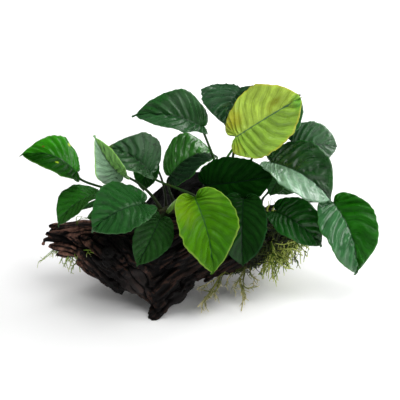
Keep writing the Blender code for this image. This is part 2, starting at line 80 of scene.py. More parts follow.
def softNoise(points, seed=0):
    # smooth noise from about -1 to 1 at each row of points, one lump per unit
    points = np.asarray(points, float)
    cell = np.floor(points).astype(np.int64)
    part = points - cell
    fade = part ** 3 * (part * (part * 6 - 15) + 10)
    total = np.zeros(len(points))
    for corner in np.ndindex(2, 2, 2):
        at = cell + corner
        mixed = (at[:, 0] * 73856093) ^ (at[:, 1] * 19349663) ^ (at[:, 2] * 83492791) ^ (seed * 2654435)
        mixed = ((mixed ^ (mixed >> 13)) * 1274126177) & 0x7FFFFFFF
        mixed = mixed ^ (mixed >> 15)
        slope = np.stack([mixed & 1023, (mixed >> 10) & 1023, (mixed >> 20) & 1023], 1) / 511.5 - 1.0
        away = part - corner
        share = np.prod(np.where(np.array(corner) == 1, fade, 1 - fade), axis=1)
        total += share * np.sum(slope * away, axis=1)
    return total * 1.5


def makeMesh(name, points, faces, attributes=None, material=None):
    # points in layout millimetres
    mesh = bpy.data.meshes.new(name)
    mesh.from_pydata(toFrame(points).tolist(), [], faces)
    for key, values in (attributes or {}).items():
        values = np.asarray(values, np.float32)
        if values.ndim == 2:
            mesh.attributes.new(key, "FLOAT_VECTOR", "POINT").data.foreach_set("vector", values.ravel())
        else:
            mesh.attributes.new(key, "FLOAT", "POINT").data.foreach_set("value", values)
    mesh.validate()
    mesh.shade_smooth()
    item = bpy.data.objects.new(name, mesh)
    bpy.context.scene.collection.objects.link(item)
    if material:
        mesh.materials.append(material)
    return item


def tubeFaces(rings, sides):
    # the sides between neighbouring rings, then a fan round the point that closes each end
    faces = []
    for i in range(rings - 1):
        for k in range(sides):
            n = (k + 1) % sides
            faces.append([i * sides + k, i * sides + n, (i + 1) * sides + n, (i + 1) * sides + k])
    low, last = rings * sides, (rings - 1) * sides
    for k in range(sides):
        n = (k + 1) % sides
        faces.append([low, n, k])
        faces.append([low + 1, last + k, last + n])
    return faces


def stackMeshes(parts):
    # several meshes as one list of points and one of faces
    points, faces, count = [], [], 0
    for partPoints, partFaces in parts:
        points.append(partPoints)
        faces += [[i + count for i in face] for face in partFaces]
        count += len(partPoints)
    return np.vstack(points), faces


def settle(item, slot, *nodes):
    # every piece rides with the wood it grows on
    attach(item, "root")
    if nodes:
        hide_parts(*nodes)


# Colours and node helpers

def colour(text):
    # "2a6a2a" as the eye sees it, to the linear values that a shader takes
    parts = [int(text[i:i + 2], 16) / 255 for i in (0, 2, 4)]
    return tuple(p / 12.92 if p <= 0.04045 else ((p + 0.055) / 1.055) ** 2.4 for p in parts) + (1.0,)


def addNode(tree, kind, inputs=None, **settings):
    node = tree.nodes.new("ShaderNode" + kind)
    for key, value in settings.items():
        setattr(node, key, value)
    for key, value in (inputs or {}).items():
        if isinstance(value, bpy.types.NodeSocket):
            tree.links.new(value, node.inputs[key])
        else:
            node.inputs[key].default_value = value
    return node


def blendColour(tree, share, under, over, mode="MIX"):
    node = addNode(tree, "Mix", data_type="RGBA", blend_type=mode)
    for index, value in ((0, share), (6, under), (7, over)):
        if isinstance(value, bpy.types.NodeSocket):
            tree.links.new(value, node.inputs[index])
        else:
            node.inputs[index].default_value = value
    return node.outputs[2]


def doMath(tree, operation, first, second=0.0):
    return addNode(tree, "Math", {0: first, 1: second}, operation=operation).outputs[0]


def multiply(tree, first, second):
    return doMath(tree, "MULTIPLY", first, second)


def stretch(tree, value, low, high, toLow=0.0, toHigh=1.0):
    # a smooth step from toLow to toHigh while the value goes from low to high
    node = addNode(tree, "MapRange", {"Value": value}, interpolation_type="SMOOTHSTEP")
    for key, number in (("From Min", low), ("From Max", high), ("To Min", toLow), ("To Max", toHigh)):
        node.inputs[key].default_value = number
    return node.outputs["Result"]


def attribute(tree, name):
    return addNode(tree, "Attribute", attribute_name=name, attribute_type="GEOMETRY").outputs["Fac"]


def speckle(tree, scale, detail=2.0, vector=None, roughness=0.5):
    inputs = {"Scale": scale, "Detail": detail, "Roughness": roughness}
    if vector is not None:
        inputs["Vector"] = vector
    else:
        inputs["Vector"] = addNode(tree, "TexCoord").outputs["Object"]
    return addNode(tree, "TexNoise", inputs).outputs["Fac"]


def newMaterial(name):
    material = bpy.data.materials.new(name)
    material.use_nodes = True
    tree = material.node_tree
    return material, tree, tree.nodes["Principled BSDF"]


def addBump(tree, shader, height, distance, strength=1.0):
    bump = addNode(tree, "Bump", {"Height": height, "Strength": strength, "Distance": distance * mm})
    tree.links.new(bump.outputs["Normal"], shader.inputs["Normal"])


# Camera, light and floor

studio = {
    "lens": 85.0, "sensor": 36.0,   # mm
    "clip": (0.01, 50.0),           # metres
    "cameraPlace": (0.0, -755.05, 419.09),
    "cameraTilt": 65.0,             # degrees up from straight down
    "aim": (0.0, 0.0, 0.09),        # the point that all lights face, metres
    "floorSize": 6.0,               # metres
    "floorDrop": 0.0002,            # how far the floor lies under the feet, metres
    "floorRough": 0.9, "floorGloss": 0.1,
    "evenFrom": 0.3, "evenTo": 1.1, # the floor turns evenly white between these, metres from the middle
    "floorColour": (0.93, 0.93, 0.93, 1.0),
    "backdrop": 1.0,                # the white that the camera sees behind the plant
    "fill": 0.27,                   # soft light from all round on matt surfaces
    "roomGloss": 0.04,              # how bright the dim room looks in a shiny leaf
    "lights": {                     # way round, height in degrees, metres away, size in metres, watts
        "rightBox": {"round": 98, "height": 26, "away": 1.15, "size": (1.00, 0.55), "power": 11.0},
        "frontRightBox": {"round": 33, "height": 34, "away": 1.15, "size": (0.34, 0.30), "power": 1.8},
        "backBox": {"round": 139, "height": 32, "away": 1.15, "size": (0.46, 0.32), "power": 2.6},
        "topBackBox": {"round": -150, "height": 68, "away": 1.15, "size": (0.34, 0.30), "power": 0.9},
        "keyLight": {"round": 25, "height": 70, "away": 1.10, "size": (0.45, 0.45), "power": 5.4,
                     "mattOnly": True},
        "leftLight": {"round": -75, "height": 48, "away": 1.20, "size": (0.60, 0.60), "power": 3.0,
                      "mattOnly": True},
        "backWash": {"round": 178, "height": 50, "away": 1.30, "size": (0.90, 0.60), "power": 3.2,
                     "mattOnly": True},
    },
}


def makeStudio():
    scene = bpy.context.scene
    scene.view_settings.view_transform = "Standard"
    camera = bpy.data.objects.new("camera", bpy.data.cameras.new("camera"))
    camera.data.lens = studio["lens"]
    camera.data.sensor_width = studio["sensor"]
    camera.data.clip_start, camera.data.clip_end = studio["clip"]
    camera.location = toFrame(studio["cameraPlace"])
    camera.rotation_euler = (math.radians(studio["cameraTilt"]), 0.0, 0.0)
    scene.collection.objects.link(camera)
    scene.camera = camera

    middle = Vector(studio["aim"])
    for name, light in studio["lights"].items():
        data = bpy.data.lights.new(name, "AREA")
        data.shape = "RECTANGLE"
        data.size, data.size_y = light["size"]
        data.energy = light["power"]
        lamp = bpy.data.objects.new(name, data)
        # 0 is in front, 90 to the right
        around, height = math.radians(light["round"]), math.radians(light["height"])
        away = Vector((math.sin(around) * math.cos(height), -math.cos(around) * math.cos(height),
                       math.sin(height)))
        lamp.location = middle + away * light["away"]
        lamp.rotation_euler = away.to_track_quat("Z", "Y").to_euler()
        lamp.visible_glossy = not light.get("mattOnly", False)
        scene.collection.objects.link(lamp)

    # the camera sees white behind the plant, the plant itself a dimmer room
    world = bpy.data.worlds.new("sky")
    world.use_nodes = True
    tree = world.node_tree
    sky = tree.nodes["Background"]
    sky.inputs["Color"].default_value = (1.0, 1.0, 1.0, 1.0)
    rays = addNode(tree, "LightPath").outputs
    dim = doMath(tree, "SUBTRACT", studio["roomGloss"], studio["fill"])
    dim = multiply(tree, rays["Is Glossy Ray"], dim)
    dim = doMath(tree, "ADD", dim, studio["fill"])
    seen = multiply(tree, rays["Is Camera Ray"], studio["backdrop"])
    tree.links.new(doMath(tree, "MAXIMUM", seen, dim), sky.inputs["Strength"])
    scene.world = world

    half = studio["floorSize"] / 2
    mesh = bpy.data.meshes.new("floor")
    mesh.from_pydata([(-half, -half, 0), (half, -half, 0), (half, half, 0), (-half, half, 0)], [],
                     [(0, 1, 2, 3)])
    floor = bpy.data.objects.new("floor", mesh)
    floor.location.z = -studio["floorDrop"]
    material, tree, shader = newMaterial("floorPaper")
    shader.inputs["Base Color"].default_value = studio["floorColour"]
    shader.inputs["Roughness"].default_value = studio["floorRough"]
    shader.inputs["Specular IOR Level"].default_value = studio["floorGloss"]
    # the paper runs on, evenly white, far from the lights
    outward = addNode(tree, "VectorMath", {0: addNode(tree, "NewGeometry").outputs["Position"]},
                      operation="LENGTH").outputs["Value"]
    even = stretch(tree, outward, studio["evenFrom"], studio["evenTo"])
    even = multiply(tree, even, addNode(tree, "LightPath").outputs["Is Camera Ray"])
    shader.inputs["Emission Color"].default_value = (1.0, 1.0, 1.0, 1.0)
    tree.links.new(even, shader.inputs["Emission Strength"])
    mesh.materials.append(material)
    scene.collection.objects.link(floor)
    print("studio ready")


# Leaves

blade = {
    "thick": 0.5, "edgeThick": 0.32,        # mm
    "rows": 126, "steps": 18,               # faces along the margin and from the midrib to it
    "veins": 13,                            # side veins in each half
    "quilt": 1.75, "fineQuilt": 0.22,       # height of the swells between the veins, mm
    "wrinkle": 0.26,                        # height of the small creases, mm
    "ribDepth": 0.55, "ribWidth": 0.9,      # the groove along the midrib, mm
    "keel": 0.7,                            # the midrib's ridge on the underside, mm
    "veinRoot": 1.75, "veinBend": 1.75,     # higher, side veins bend more towards the tip
    "ragged": 0.032,                        # how uneven the margin is, as a share of the half width
    "frill": 1.1,                           # how far the margin waves up and down, mm
    "tipLength": 0.035, "tipCurl": 1.6,     # the fine point past the blade's end
    "drawnIn": 0.35,                        # how far the sides draw in before it
    "fuller": 0.24,                         # the widening of the outer half where full is 1
    "slowSwell": 0.9, "slowSpacing": 15.0,  # slow swells over the whole blade, mm
    "fullSize": 22.0,                       # half width from which all swells have their full height, mm
    "smallLength": 32.0, "smallFaces": 0.6, # blades shorter than this, mm, have fewer faces
}
bladeFacing = np.array([0.0, -0.7, 0.7])
fanEnd = 0.30
bladeOutline = [(0.00, 0.00), (-0.11, 0.22), (-0.10, 0.55), (0.08, 0.88), (0.30, 1.00),
                (0.55, 0.86), (0.78, 0.52), (0.93, 0.18), (1.00, 0.00)]

# the same blades as the solids: places, half width, arch, cup and wave in mm, angles in degrees
# many values from base to cup are the rounded output of a fit program
# full, how much the outer half of the blade is widened, is the scene's own
leafFields = ("base", "tip", "halfWidth", "turn", "foldLeft", "foldRight", "arch", "twist", "lobe",
              "cup", "wave", "crown", "rise", "reach", "lift", "full")
leaves = {
    "far_left": ((-101, -47, 114), (-143, -56, 133), 20, 30, 6, 22, 9, -20, 0.6, 1, 0.8,
                 0.09, (-12, 8, 16), 14, 0.25, 0.3),
    "low_left": ((-83, -57, 99), (-114, -76, 80), 17, 34, 16, 22, 6, -30, 0.6, 0, 0.8,
                 0.05, (-12, -8, 14), 8, 0.25, 0.35),
    "upright": ((-63, -45, 110), (-84, -50, 146), 16, -38, 50, 34, 7, 40, 0.8, 0, 0.6,
                0.16, (-8, 2, 18), 10, 0.25, 0.1),
    "upper_left": ((-42, -38, 110), (-76, -36, 132), 24, 16, 30, 50, 7, -32, 1.0, 0, 1.0,
                   0.46, (-6, -10, 14), 10, 0.25, 0.25),
    "front_left": ((-46, -72, 97), (-85, -92, 83), 24, 15, 11, 20, 7, -20, 1.4, 0, 1.0,
                   0.12, (-2, -14, 18), 10, 0.25, 0.45),
    "small_left": ((-42, -19, 111), (-48, -29, 89), 11, 14, 8, 14, 3, 4, 1.4, 1, 0.5,
                   0.22, (0, 12, 16), 8, 0.25, 0.3),
    "centre_left": ((-26, -21, 99), (15, 0, 107), 20, -20, 38, 16, 14, -22, 0.4, 0, 0.8,
                    0.28, (-3, 2, 10), 8, 0.25, 0.5),
    "centre_dark": ((5, -46, 102), (60, -52, 113), 22, 40, 10, 4, 3, -20, 0.7, 2, 1.2,
                    0.50, (0, -8, 12), 8, 0.25, 0.5),
    "front_centre": ((-4, -74, 103), (10, -90, 44), 28, -25, 17, 15, 7, -8, 0.8, 1, 1.0,
                     0.40, (0, -20, 16), 12, 0.25, 0.15),
    "front_dark": ((35, -63, 98), (35, -72, 41), 20, 15, 8, 15, 4, -3, 0.6, 2, 1.0,
                   0.70, (4, -26, 3), 10, 1.6, 0.45),
    "front_right": ((63, -48, 79), (101, -60, 53), 19, -12, 20, 14, 6, 6, 0.8, 0, 1.0,
                    0.92, (6, -14, 4), 8, 0.25, 0.45),
    "far_right": ((110, -50, 88), (130, -66, 30), 26, -29, 25, 3, 9, -4, 0.7, 2, 1.2,
                  1.00, (18, -6, 8), 20, 0.25, 0.5),
    "back_right": ((78, -8, 125), (118, 0, 118), 18, 26, 4, 14, 4, -12, 1.0, 1, 0.8,
                   0.90, (4, 8, 20), 14, 0.25, 0.6),
    "grey_right": ((58, -38, 119), (107, -55, 92), 25, -18, 28, 18, 9, 26, 0.9, 1, 1.2,
                   0.85, (0, -8, 20), 12, 0.25, 0.9),
    "yellow_top": ((29, -50, 146), (79, -60, 183), 26, -3, 9, 8, 1, 14, 0.9, 2, 1.5,
                   0.56, (-2, -6, 30), 18, 0.25, 0.9),
    "top_back": ((34, 4, 168), (21, -24, 146), 27, 23, 14, 15, 5, 0, 0.8, 1, 1.0,
                 0.70, (0, 20, 40), 18, 0.25, 0.4),
    "behind_yellow": ((52, -20, 136), (83, -5, 166), 22, -9, 14, 17, 5, 20, 0.8, 1, 1.0,
                      0.78, (0, 4, 26), 12, 0.25, 0.7),
    "top_left": ((2, -15, 141), (-54, -22, 154), 20, 8, 30, 34, 9, -14, 0.6, 0, 1.0,
                 0.62, (2, -4, 26), 16, 0.25, 0.7),
    "little_left": ((-74, -36, 82), (-101, -45, 78), 9, 50, 10, 10, 2, 3, 0.8, 1, 0.4,
                    0.04, (-6, 8, 2), 6, 0.25, 0.3),
    "little_low": ((-80, -38, 74), (-95, -42, 70), 7, -40, 14, 14, 2, 2, 0.8, 1, 0.4,
                   0.00, (-10, 0, 2), 6, 0.25, 0.3),
    "under_grey": ((69, -22, 100), (59, -30, 85), 8, 10, 11, 11, 1, -3, 0.8, 1, 0.4,
                   0.81, (4, 6, 10), 8, 0.25, 0.5),
    "above_right": ((62, -6, 81), (88, -8, 80), 9, -22, 13, 12, 2, 6, 0.8, 1, 0.4,
                    0.96, (2, 8, 4), 6, 0.25, 0.4),
    "low_front": ((-32, -76, 86), (-50, -95, 54), 16, -21, 14, 22, 2, 15, 0.8, 1, 0.8,
                  0.17, (-2, -16, 5), 8, 0.25, 0.4),
}

# how each blade is coloured: plus is the half on the right with the tip pointing up, minus the left. On some
# blades a half's colour is partly painted light, sheen or shade, as noted there.
bladeLooks = {
    # the plus half's bright green is partly painted light shining through the blade
    "far_left": {"plus": "226c08", "minus": "093601", "edge": "4f8c22", "gloss": 0.08, "coat": (0.3, 0.0),
                 "spots": [(0.24, 0.88, 0.03, 0.07, "b8cf30", 0.9), (0.42, -0.34, 0.03, 0.08, "a8c62c", 0.8),
                           (0.69, 0.30, 0.025, 0.05, "5c2c14", 0.9)]},
    "low_left": {"plus": "1d5512", "minus": "19420f", "edge": "2a6020", "gloss": 0.22, "coat": (0.2, 0.05)},
    # the pale grey-green of both halves and the pale grey patch are partly painted sheen
    "upright": {"plus": "6a9c4c", "minus": "7d9f80", "edge": "92cc50", "edgeShare": 0.9, "streaks": 0.9,
                "spots": [(0.55, 0.35, 0.10, 0.06, "1a3c22", 0.8), (0.25, 0.10, 0.08, 0.05, "1a3c22", 0.8),
                          (0.10, -0.30, 0.06, 0.05, "24482a", 0.7), (0.75, 0.20, 0.07, 0.05, "24482a", 0.6),
                          (0.35, 0.62, 0.12, 0.06, "2c5c2c", 0.7), (0.30, -0.75, 0.25, 0.14, "9ab49c", 0.6)]},
    "upper_left": {"plus": "335c35", "minus": "274a27", "edge": "3a6434", "gloss": 0.7, "quilt": 1.3,
                   "veins": 12, "point": 1.6,
                   "spots": [(0.25, 0.80, 0.025, 0.05, "0a1608", 0.9),
                             (0.96, 0.0, 0.05, 0.3, "86a030", 0.5)]},
    "front_left": {"plus": "1b4c1c", "minus": "1a461b", "edge": "346e32"},
    "small_left": {"plus": "12420e", "minus": "10380c", "edge": "2c6024", "gloss": 0.1, "coat": (0.0, 0.0)},
    # the halves carry painted light: the bright minus half is partly painted light through the blade, the
    # dark plus half painted shade
    "centre_left": {"plus": "142c18", "minus": "367628", "edge": "3a7c26", "coat": (0.0, 1.0), "gloss": 0.12,
                    "quilt": 1.3, "wrinkle": 1.8},
    # its near-black greens are partly painted shade
    "centre_dark": {"plus": "062c04", "minus": "032403", "edge": "143c12", "coat": (0.0, 0.0), "gloss": 0.02,
                    "quilt": 0.7},
    "front_centre": {"plus": "386803", "minus": "346604", "edge": "98b84a", "rib": "244a26",
                     "coat": (0.04, 0.06), "gloss": 0.04, "streaks": 0.3,
                     "spots": [(0.05, 0.55, 0.24, 0.45, "6f9210", 0.5),
                               (0.75, -0.45, 0.30, 0.40, "286006", 0.5),
                               (0.02, -0.50, 0.15, 0.35, "5e9022", 0.5)]},
    "front_dark": {"plus": "0e320c", "minus": "0b2c09", "edge": "24502c", "gloss": 0.03, "quilt": 0.8,
                   "coat": (0.3, 0.0)},
    "front_right": {"plus": "0c3e0c", "minus": "0c440a", "edge": "2a6026", "gloss": 0.12,
                    "coat": (0.05, 0.45)},
    # the grey plus half is partly painted sheen, the saturated minus half partly painted light shining
    # through the blade
    "far_right": {"plus": "2c5a32", "minus": "0f4804", "edge": "3a7a2c", "quilt": 1.4, "veins": 10,
                  "gloss": 0.08, "coat": (0.55, 0.0)},
    "back_right": {"plus": "1b4420", "minus": "1f4c24", "edge": "4a7a4c", "quilt": 1.4, "veins": 11,
                   "gloss": 0.7},
    # the grey plus half is partly painted sheen
    "grey_right": {"plus": "6a8c70", "minus": "103612", "edge": "1a5c18", "wrinkle": 2.6, "veins": 11,
                   "gloss": 0.5, "coat": (0.65, 0.25),
                   "spots": [(0.88, -0.6, 0.12, 0.35, "16600e", 0.5)]},
    "yellow_top": {"plus": "7ea236", "minus": "9fba46", "edge": "c0b428", "rib": "2f6050",
                   "edgeShare": 0.6, "gloss": 0.4, "point": -0.6, "quilt": 1.6, "coat": (0.3, 0.3),
                   "spots": [(0.66, -0.30, 0.11, 0.11, "7c7f1c", 0.7),
                             (0.56, -0.20, 0.05, 0.14, "84881c", 0.4),
                             (0.04, -0.55, 0.16, 0.38, "aaa424", 0.7),
                             (-0.05, 0.45, 0.10, 0.25, "a8b030", 0.5),
                             (0.95, 0.1, 0.10, 0.3, "5cae32", 0.6)]},
    "top_back": {"plus": "214928", "minus": "1e4224", "edge": "3a6a40", "quilt": 2.2, "veins": 12,
                 "gloss": 1.0, "coat": (0.5, 0.5)},
    "behind_yellow": {"plus": "124412", "minus": "0f340e", "edge": "2a5e26", "gloss": 0.3},
    "top_left": {"plus": "184619", "minus": "1e4721", "edge": "2a642a", "quilt": 1.3, "gloss": 0.45,
                 "point": 1.4},
    "little_left": {"plus": "174c14", "minus": "143f12", "edge": "2f6a28"},
    "little_low": {"plus": "2f6a1c", "minus": "2a5c1a", "edge": "4a8a34"},
    "under_grey": {"plus": "2c5c2c", "minus": "25521f", "edge": "4a7a40"},
    "above_right": {"plus": "12400e", "minus": "10380c", "edge": "2c5c26"},
    "low_front": {"plus": "1c4118", "minus": "173a12", "edge": "245422", "gloss": 0.12,
                  "coat": (0.05, 0.05)},
}


def readLeaf(name):
    leaf = dict(zip(leafFields, leaves[name]))
    base, tip = np.array(leaf["base"], float), np.array(leaf["tip"], float)
    axis = unit(tip - base)
    facing = unit(bladeFacing - axis * bladeFacing.dot(axis))
    turned = Matrix.Rotation(math.radians(leaf["turn"]), 3, Vector(axis)) @ Vector(facing)
    facing = np.array(turned)
    leaf.update(name=name, base=base, length=np.linalg.norm(tip - base), axis=axis, facing=facing,
                right=np.cross(axis, facing))
    return leaf


def bladeMiddle(leaf, along, across, side, t):
    # a point of the blade's middle surface, as in the solids
    fold = np.radians(np.where(side > 0, leaf["foldRight"], leaf["foldLeft"]))
    turn = np.radians(leaf["twist"]) * (along - 0.4)
    cos, sin = np.cos(turn)[:, None], np.sin(turn)[:, None]
    up = leaf["facing"] * cos + leaf["right"] * sin
    out = leaf["right"] * cos - leaf["facing"] * sin
    bow = 4 * leaf["arch"] * along * np.where(along > 0, 1 - along, 1.0)
    reach = leaf["halfWidth"] * across
    ripple = leaf["wave"] * np.sin(t * 21.0 + side * 1.3 + leaf["halfWidth"]) * across ** 3
    rise = reach * np.sin(fold) - leaf["cup"] * across ** 2 + ripple
    return (leaf["base"] + leaf["axis"] * (leaf["length"] * along)[:, None]
            + leaf["facing"] * bow[:, None] + out * (side * reach * np.cos(fold))[:, None]
            + up * rise[:, None])


def bladeMargin(leaf, t, side, seed):
    # the outline of one half: how far along and across the blade the margin runs
    margin = curveAt(bladeOutline, t)
    along = np.where(margin[:, 0] < 0, margin[:, 0] * leaf["lobe"], margin[:, 0])
    fuller = blade["fuller"] * leaf["full"] * np.sin(math.pi * np.clip((t - 0.38) / 0.60, 0.0, 1.0))
    across = np.maximum(margin[:, 1] + fuller, 0.0)
    uneven = softNoise(np.stack([t * 9, side * 3.7, side], 1), seed + 5)
    uneven += 0.8 * softNoise(np.stack([t * 26, side * 1.9, side], 1), seed + 6)
    across *= 1 + blade["ragged"] * 2 * uneven * easeStep(0.0, 0.1, t)
    # the sides draw in to a point, finer on some blades
    point = bladeLooks[leaf["name"]].get("point", 1.0)
    across *= 1 - blade["drawnIn"] * point * easeStep(0.90, 0.975, t)
    along = along + blade["tipLength"] * point * easeStep(0.94, 1.0, t)
    return along, across


def buildBlade(leaf, material):
    scale = blade["smallFaces"] if leaf["length"] < blade["smallLength"] else 1.0
    look = bladeLooks[leaf["name"]]
    rows, steps = int(blade["rows"] * scale), int(blade["steps"] * scale)
    seed = sum(map(ord, leaf["name"]))
    row, step = np.meshgrid(np.arange(rows + 1), np.arange(steps + 1), indexing="ij")
    t = np.tile(row.ravel() / rows, 2)
    part = np.tile(step.ravel() / steps, 2)
    side = np.repeat([1.0, -1.0], row.size)

    marginAlong, marginAcross = bladeMargin(leaf, t, side, seed)
    veinRoot = np.maximum(0.0, (t - fanEnd) / (1 - fanEnd)) ** blade["veinRoot"]
    along = veinRoot + (marginAlong - veinRoot) * part ** blade["veinBend"]
    across = marginAcross * part
    points = bladeMiddle(leaf, along, across, side, t)

    # points that fall together at the midrib, the sinus and the tip become one
    _, first, index = np.unique(np.round(points, 5), axis=0, return_index=True, return_inverse=True)
    index = index.ravel()
    points, t, part, side, along, across = (v[first] for v in (points, t, part, side, along, across))

    def corner(half, i, j):
        return int(index[half * row.size + i * (steps + 1) + j])

    faces, rim = [], []
    for half in (0, 1):
        for i in range(rows):
            for j in range(steps):
                quad = [corner(half, i, j), corner(half, i, j + 1), corner(half, i + 1, j + 1),
                        corner(half, i + 1, j)]
                quad = list(dict.fromkeys(quad))
                if len(quad) > 2:
                    faces.append(quad if half == 0 else quad[::-1])
            edge = (corner(half, i, steps), corner(half, i + 1, steps))
            rim.append(edge if half == 0 else edge[::-1])

    normals = np.zeros_like(points)
    for face in faces:
        a, b, c = points[face[0]], points[face[1]], points[face[2]]
        way = np.cross(b - a, c - a)
        if len(face) == 4:
            way = way + np.cross(c - a, points[face[3]] - a)
        normals[face] += way
    normals = unit(normals)

    # swells between the side veins, a groove along the midrib on top and a keel below
    drift = softNoise(np.stack([t * 7, part * 2.2, side * 2], 1), seed)
    phase = t * look.get("veins", blade["veins"]) + 0.30 * drift + 0.25 * side
    between = np.abs(np.sin(math.pi * phase))
    inside = easeStep(0.0, 0.14, part) * (1 - easeStep(0.80, 1.0, part))
    strength = 0.80 + 0.9 * softNoise(points / 16.0, seed + 1)
    sizeShare = min(leaf["halfWidth"] / blade["fullSize"], 1.0)
    bold = sizeShare * look.get("quilt", 1.0)
    swell = blade["quilt"] * bold * np.maximum(strength, 0.15) * (between ** 0.8 - 0.5) * inside
    swell += blade["fineQuilt"] * bold * np.cos(2 * math.pi * phase * 2 + 2 * drift) * inside
    crease = softNoise(np.stack([phase * 2.2 + part * 5, part * 7, side], 1), seed + 3)
    swell += blade["wrinkle"] * look.get("wrinkle", 1.0) * crease * easeStep(0.0, 0.2, part)
    slow = softNoise(points / blade["slowSpacing"], seed + 2)
    swell += blade["slowSwell"] * sizeShare * slow * inside
    frill = softNoise(np.stack([t * 10, side * 5, part * 0.5], 1), seed + 4)
    swell += blade["frill"] * sizeShare * frill * part ** 3
    swell -= blade["tipCurl"] * easeStep(0.97, 1.03, along)
    ribDistance = np.abs(across) * leaf["halfWidth"]
    ribShare = np.exp(-(ribDistance / blade["ribWidth"]) ** 2) * easeStep(1.0, 0.85, along)
    half = 0.5 * (blade["thick"] + (blade["edgeThick"] - blade["thick"]) * part)
    keel = blade["keel"] * np.exp(-(ribDistance / 1.0) ** 2) * (1 - 0.8 * np.clip(along, 0, 1))
    top = points + normals * (half + swell - blade["ribDepth"] * sizeShare * ribShare)[:, None]
    below = points + normals * (swell - half - keel * sizeShare)[:, None]

    count = len(points)
    allFaces = [list(f) for f in faces]
    allFaces += [[i + count for i in f[::-1]] for f in faces]
    allFaces += [[b, a, a + count, b + count] for a, b in rim if a != b]
    twice = lambda values: np.tile(values, 2)
    attributes = {
        "bladeAlong": twice(along), "bladeAcross": twice(across * side), "bladePart": twice(part),
        "bladePhase": twice(phase), "ribDistance": twice(ribDistance),
        "underside": np.repeat([0.0, 1.0], count),
    }
    return makeMesh("blade_" + leaf["name"], np.vstack([top, below]), allFaces, attributes, material)


def shade(text, brightness, towards=None, share=0.0):
    # a colour made darker or lighter, and drawn towards another
    first = colour(text)
    other = colour(towards) if towards else first
    return tuple(min(brightness * (a + (b - a) * share), 1.0) for a, b in zip(first[:3], other)) + (1.0,)


bladeSkin = {
    "light": 1.9, "dark": 0.5,                  # the two other tones, as times the blade's own colour
    "lightTint": "4a8a2a", "lightTinted": 0.03,
    "mottle": 0.40, "net": 0.22, "veinLine": 0.55, "rib": 0.8,          # how strongly each one shows
    "under": 1.5, "underTint": "6a8a5c", "underTinted": 0.25,           # the paler underside
    "ribDark": 0.55, "ribTint": "2c4a3a", "ribTinted": 0.3,
    "cells": 1100.0,                            # size of the net of cells, as a scale
    "rough": (0.24, 0.36), "underRough": 0.2, "coatRough": 0.12, "ior": 1.45,
    "bump": 0.14, "bumpStrength": 0.8,          # bump in mm
}


